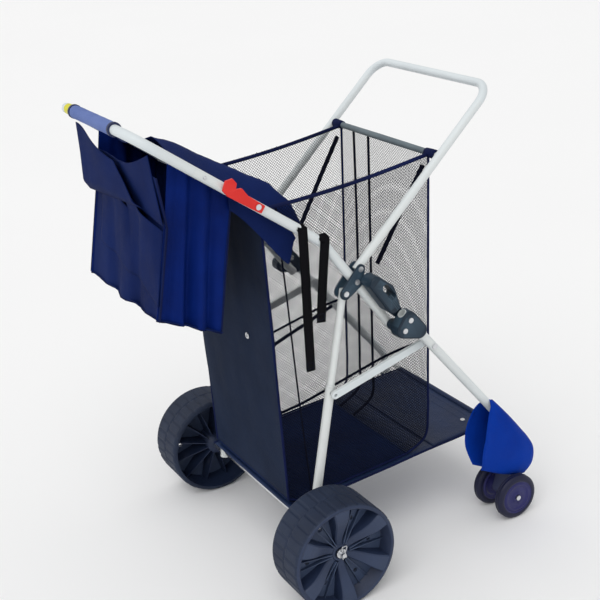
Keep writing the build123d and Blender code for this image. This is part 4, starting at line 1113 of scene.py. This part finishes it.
# ---------------------------------------------------------------- pole pouch
POUCH_LOW, POUCH_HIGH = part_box("pole_pouch")
POUCH_X0, POUCH_X1 = POUCH_LOW.x / MM, POUCH_HIGH.x / MM
MOUTH = eased([Vector(p) for p in ((386, 136), (380, 184), (393, 238), (407, 268), (426, 285))], 5)
FRONT = eased([Vector(p) for p in ((512, 80), (532, 104), (531, 146), (500, 194), (463, 244), (430, 284))], 5)


def pouch_skin(u, v, near):
    """u from the mouth to the front seam, v from the bottom to the tip."""
    y, z = mix2(along(MOUTH, v), along(FRONT, v), u)
    drop = 6 * sin(pi * u) * (1 - v) ** 2
    swell = sqrt(max(0.0, sin(pi * min(1, mix(0.06, 1.0, v)))))
    bulge = swell * (1 - u ** 6) ** 0.5
    centre = (POUCH_X0 + POUCH_X1) / 2
    reach = (POUCH_X1 - centre - 2) if near else (centre - POUCH_X0 - 2)
    crease = 1.6 * noise.noise(Vector((u * 5, v * 5, 1.0 if near else 6.0)))
    direction = 1 if near else -1
    return at(centre + direction * (reach * bulge + crease * bulge), y, z - drop)


def pouch_wrap(u, v):
    """One skin from the far lip round the front seam to the near lip."""
    near = u > 0.5
    share = 1 - (u - 0.5) * 2 if near else u * 2
    return pouch_skin(share, v, near)


def pole_pouch():
    pouch = surface("pole_pouch_cloth", pouch_wrap, 56, 34, (0.28, 0.19), POUCH, 0.0016)
    carry(pouch, "lower_frame", "blue_fabric", "pole_pouch")
    lines = ((0, True), (0, False), (1, True))
    edges = [[pouch_skin(u, k / 16, near) for k in range(17)] for u, near in lines]
    hem = wires("pole_pouch_hem", [eased(run, 2) for run in edges], 1.7, POUCH, 2)
    carry(hem, "lower_frame", "blue_fabric")


pole_pouch()


# ---------------------------------------------------------------- latch grips and rear panel eyelet
LATCH_SLOPE = radians(123.45)


def latch_ribs(side, sign):
    """Three raised ribs for the finger on a latch grip's outer face."""
    low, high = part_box(f"latch_grip_{side}")
    face = (high.x if sign > 0 else low.x) / MM
    centre = (low + high) / 2
    slope = Vector((0, cos(LATCH_SLOPE), sin(LATCH_SLOPE)))
    across = Vector((0, -slope.z, slope.y))
    ribs = []
    for offset in (-6.0, -2.2, 1.6):
        start, end = [centre + slope * reach + across * offset * MM for reach in (-0.026, 0.012)]
        start.x = end.x = (face - sign * 0.6) * MM
        ribs.append([start, (start + end) / 2, end])
    carry(wires(f"latch_ribs_{side}", ribs, 1.1, LATCH, 2), f"latch_grip_{side}", "dark_plastic")


def rear_eyelet():
    """Small metal ring pressed into the rear panel."""
    profile = [(0.0, 3.0), (1.4, 3.4), (1.8, 5.0), (1.0, 6.6), (0.0, 7.0)]
    eyelet = lathe("rear_panel_eyelet", profile, Vector(), [STEEL], None, 32)
    place = rear_point(0.66, 0.53) + Vector((0, -0.001, 0))
    eyelet.data.transform(Matrix.Translation(place) @ Matrix.Rotation(-pi / 2, 4, "Z"))
    carry(eyelet, "lower_frame", "zinc_steel")
    fold_away(eyelet)


for side, sign in SIDES:
    latch_ribs(side, sign)
rear_eyelet()


# ---------------------------------------------------------------- floor, light and camera
scene = bpy.context.scene
FLOOR_REACH = 30.0
WORLD_STRENGTH = 0.66
CAMERA_PLACE = (2.0516, -0.9514 + AXLE.y, 1.4746)
CAMERA_YAW, CAMERA_PITCH, CAMERA_ROLL = radians(-62.09), radians(22.58), radians(-5.68)
LENS, SENSOR = 71.56, 36
SHIFT_X, SHIFT_Y = -0.0045, 0.0078


def studio_floor():
    """Wide, pale and almost even ground."""
    mesh = bpy.data.meshes.new("floor")
    corners = [(-1, -1), (1, -1), (1, 1), (-1, 1)]
    mesh.from_pydata([(x * FLOOR_REACH, y * FLOOR_REACH, 0) for x, y in corners], [], [(0, 1, 2, 3)])
    floor = bpy.data.objects.new("floor", mesh)
    scene.collection.objects.link(floor)
    material, tree, shader = shader_of("floor")
    patches = add_noise(tree, tree.nodes.new("ShaderNodeTexCoord").outputs["Object"], 0.8, 2.0)
    tone = add_ramp(tree, patches, [(0.0, (0.90, 0.90, 0.90)), (1.0, (0.92, 0.92, 0.92))])
    tree.links.new(tone, shader.inputs["Base Color"])
    shader.inputs["Roughness"].default_value = 0.9
    shader.inputs["Specular IOR Level"].default_value = 0.1
    mesh.materials.append(material)


def white_world():
    world = bpy.data.worlds.new("studio")
    scene.world = world
    world.use_nodes = True
    background = world.node_tree.nodes["Background"]
    background.inputs["Color"].default_value = (1.0, 1.0, 1.0, 1.0)
    background.inputs["Strength"].default_value = WORLD_STRENGTH


def soft_sun(name, direction, power, spread):
    """Very wide distant light: even over the whole floor, with soft shadows."""
    light = bpy.data.lights.new(name, "SUN")
    light.energy = power
    light.angle = radians(spread)
    lamp = bpy.data.objects.new(name, light)
    scene.collection.objects.link(lamp)
    lamp.rotation_euler = (-Vector(direction)).to_track_quat("-Z", "Y").to_euler()


def photo_camera():
    """Camera at the photographer's place, turned by yaw, pitch and roll."""
    data = bpy.data.cameras.new("camera")
    camera = bpy.data.objects.new("camera", data)
    scene.collection.objects.link(camera)
    yaw, pitch, roll = CAMERA_YAW, CAMERA_PITCH, CAMERA_ROLL
    right = Vector((cos(yaw), -sin(yaw), 0))
    ahead = Vector((sin(yaw) * cos(pitch), cos(yaw) * cos(pitch), -sin(pitch)))
    up = right.cross(ahead)
    turned_right = cos(roll) * right + sin(roll) * up
    turned_up = cos(roll) * up - sin(roll) * right
    rows = zip(turned_right, turned_up, -ahead, CAMERA_PLACE)
    camera.matrix_world = Matrix((*rows, (0, 0, 0, 1)))
    data.lens = LENS
    data.sensor_width = SENSOR
    data.shift_x = SHIFT_X
    data.shift_y = SHIFT_Y
    data.clip_end = 100
    scene.camera = camera
    scene.view_settings.view_transform = "Standard"


studio_floor()
white_world()
soft_sun("key", (0.9, -0.7, 1.5), 1.05, 50)
soft_sun("fill", (-0.8, -0.9, 1.1), 0.45, 90)
photo_camera()
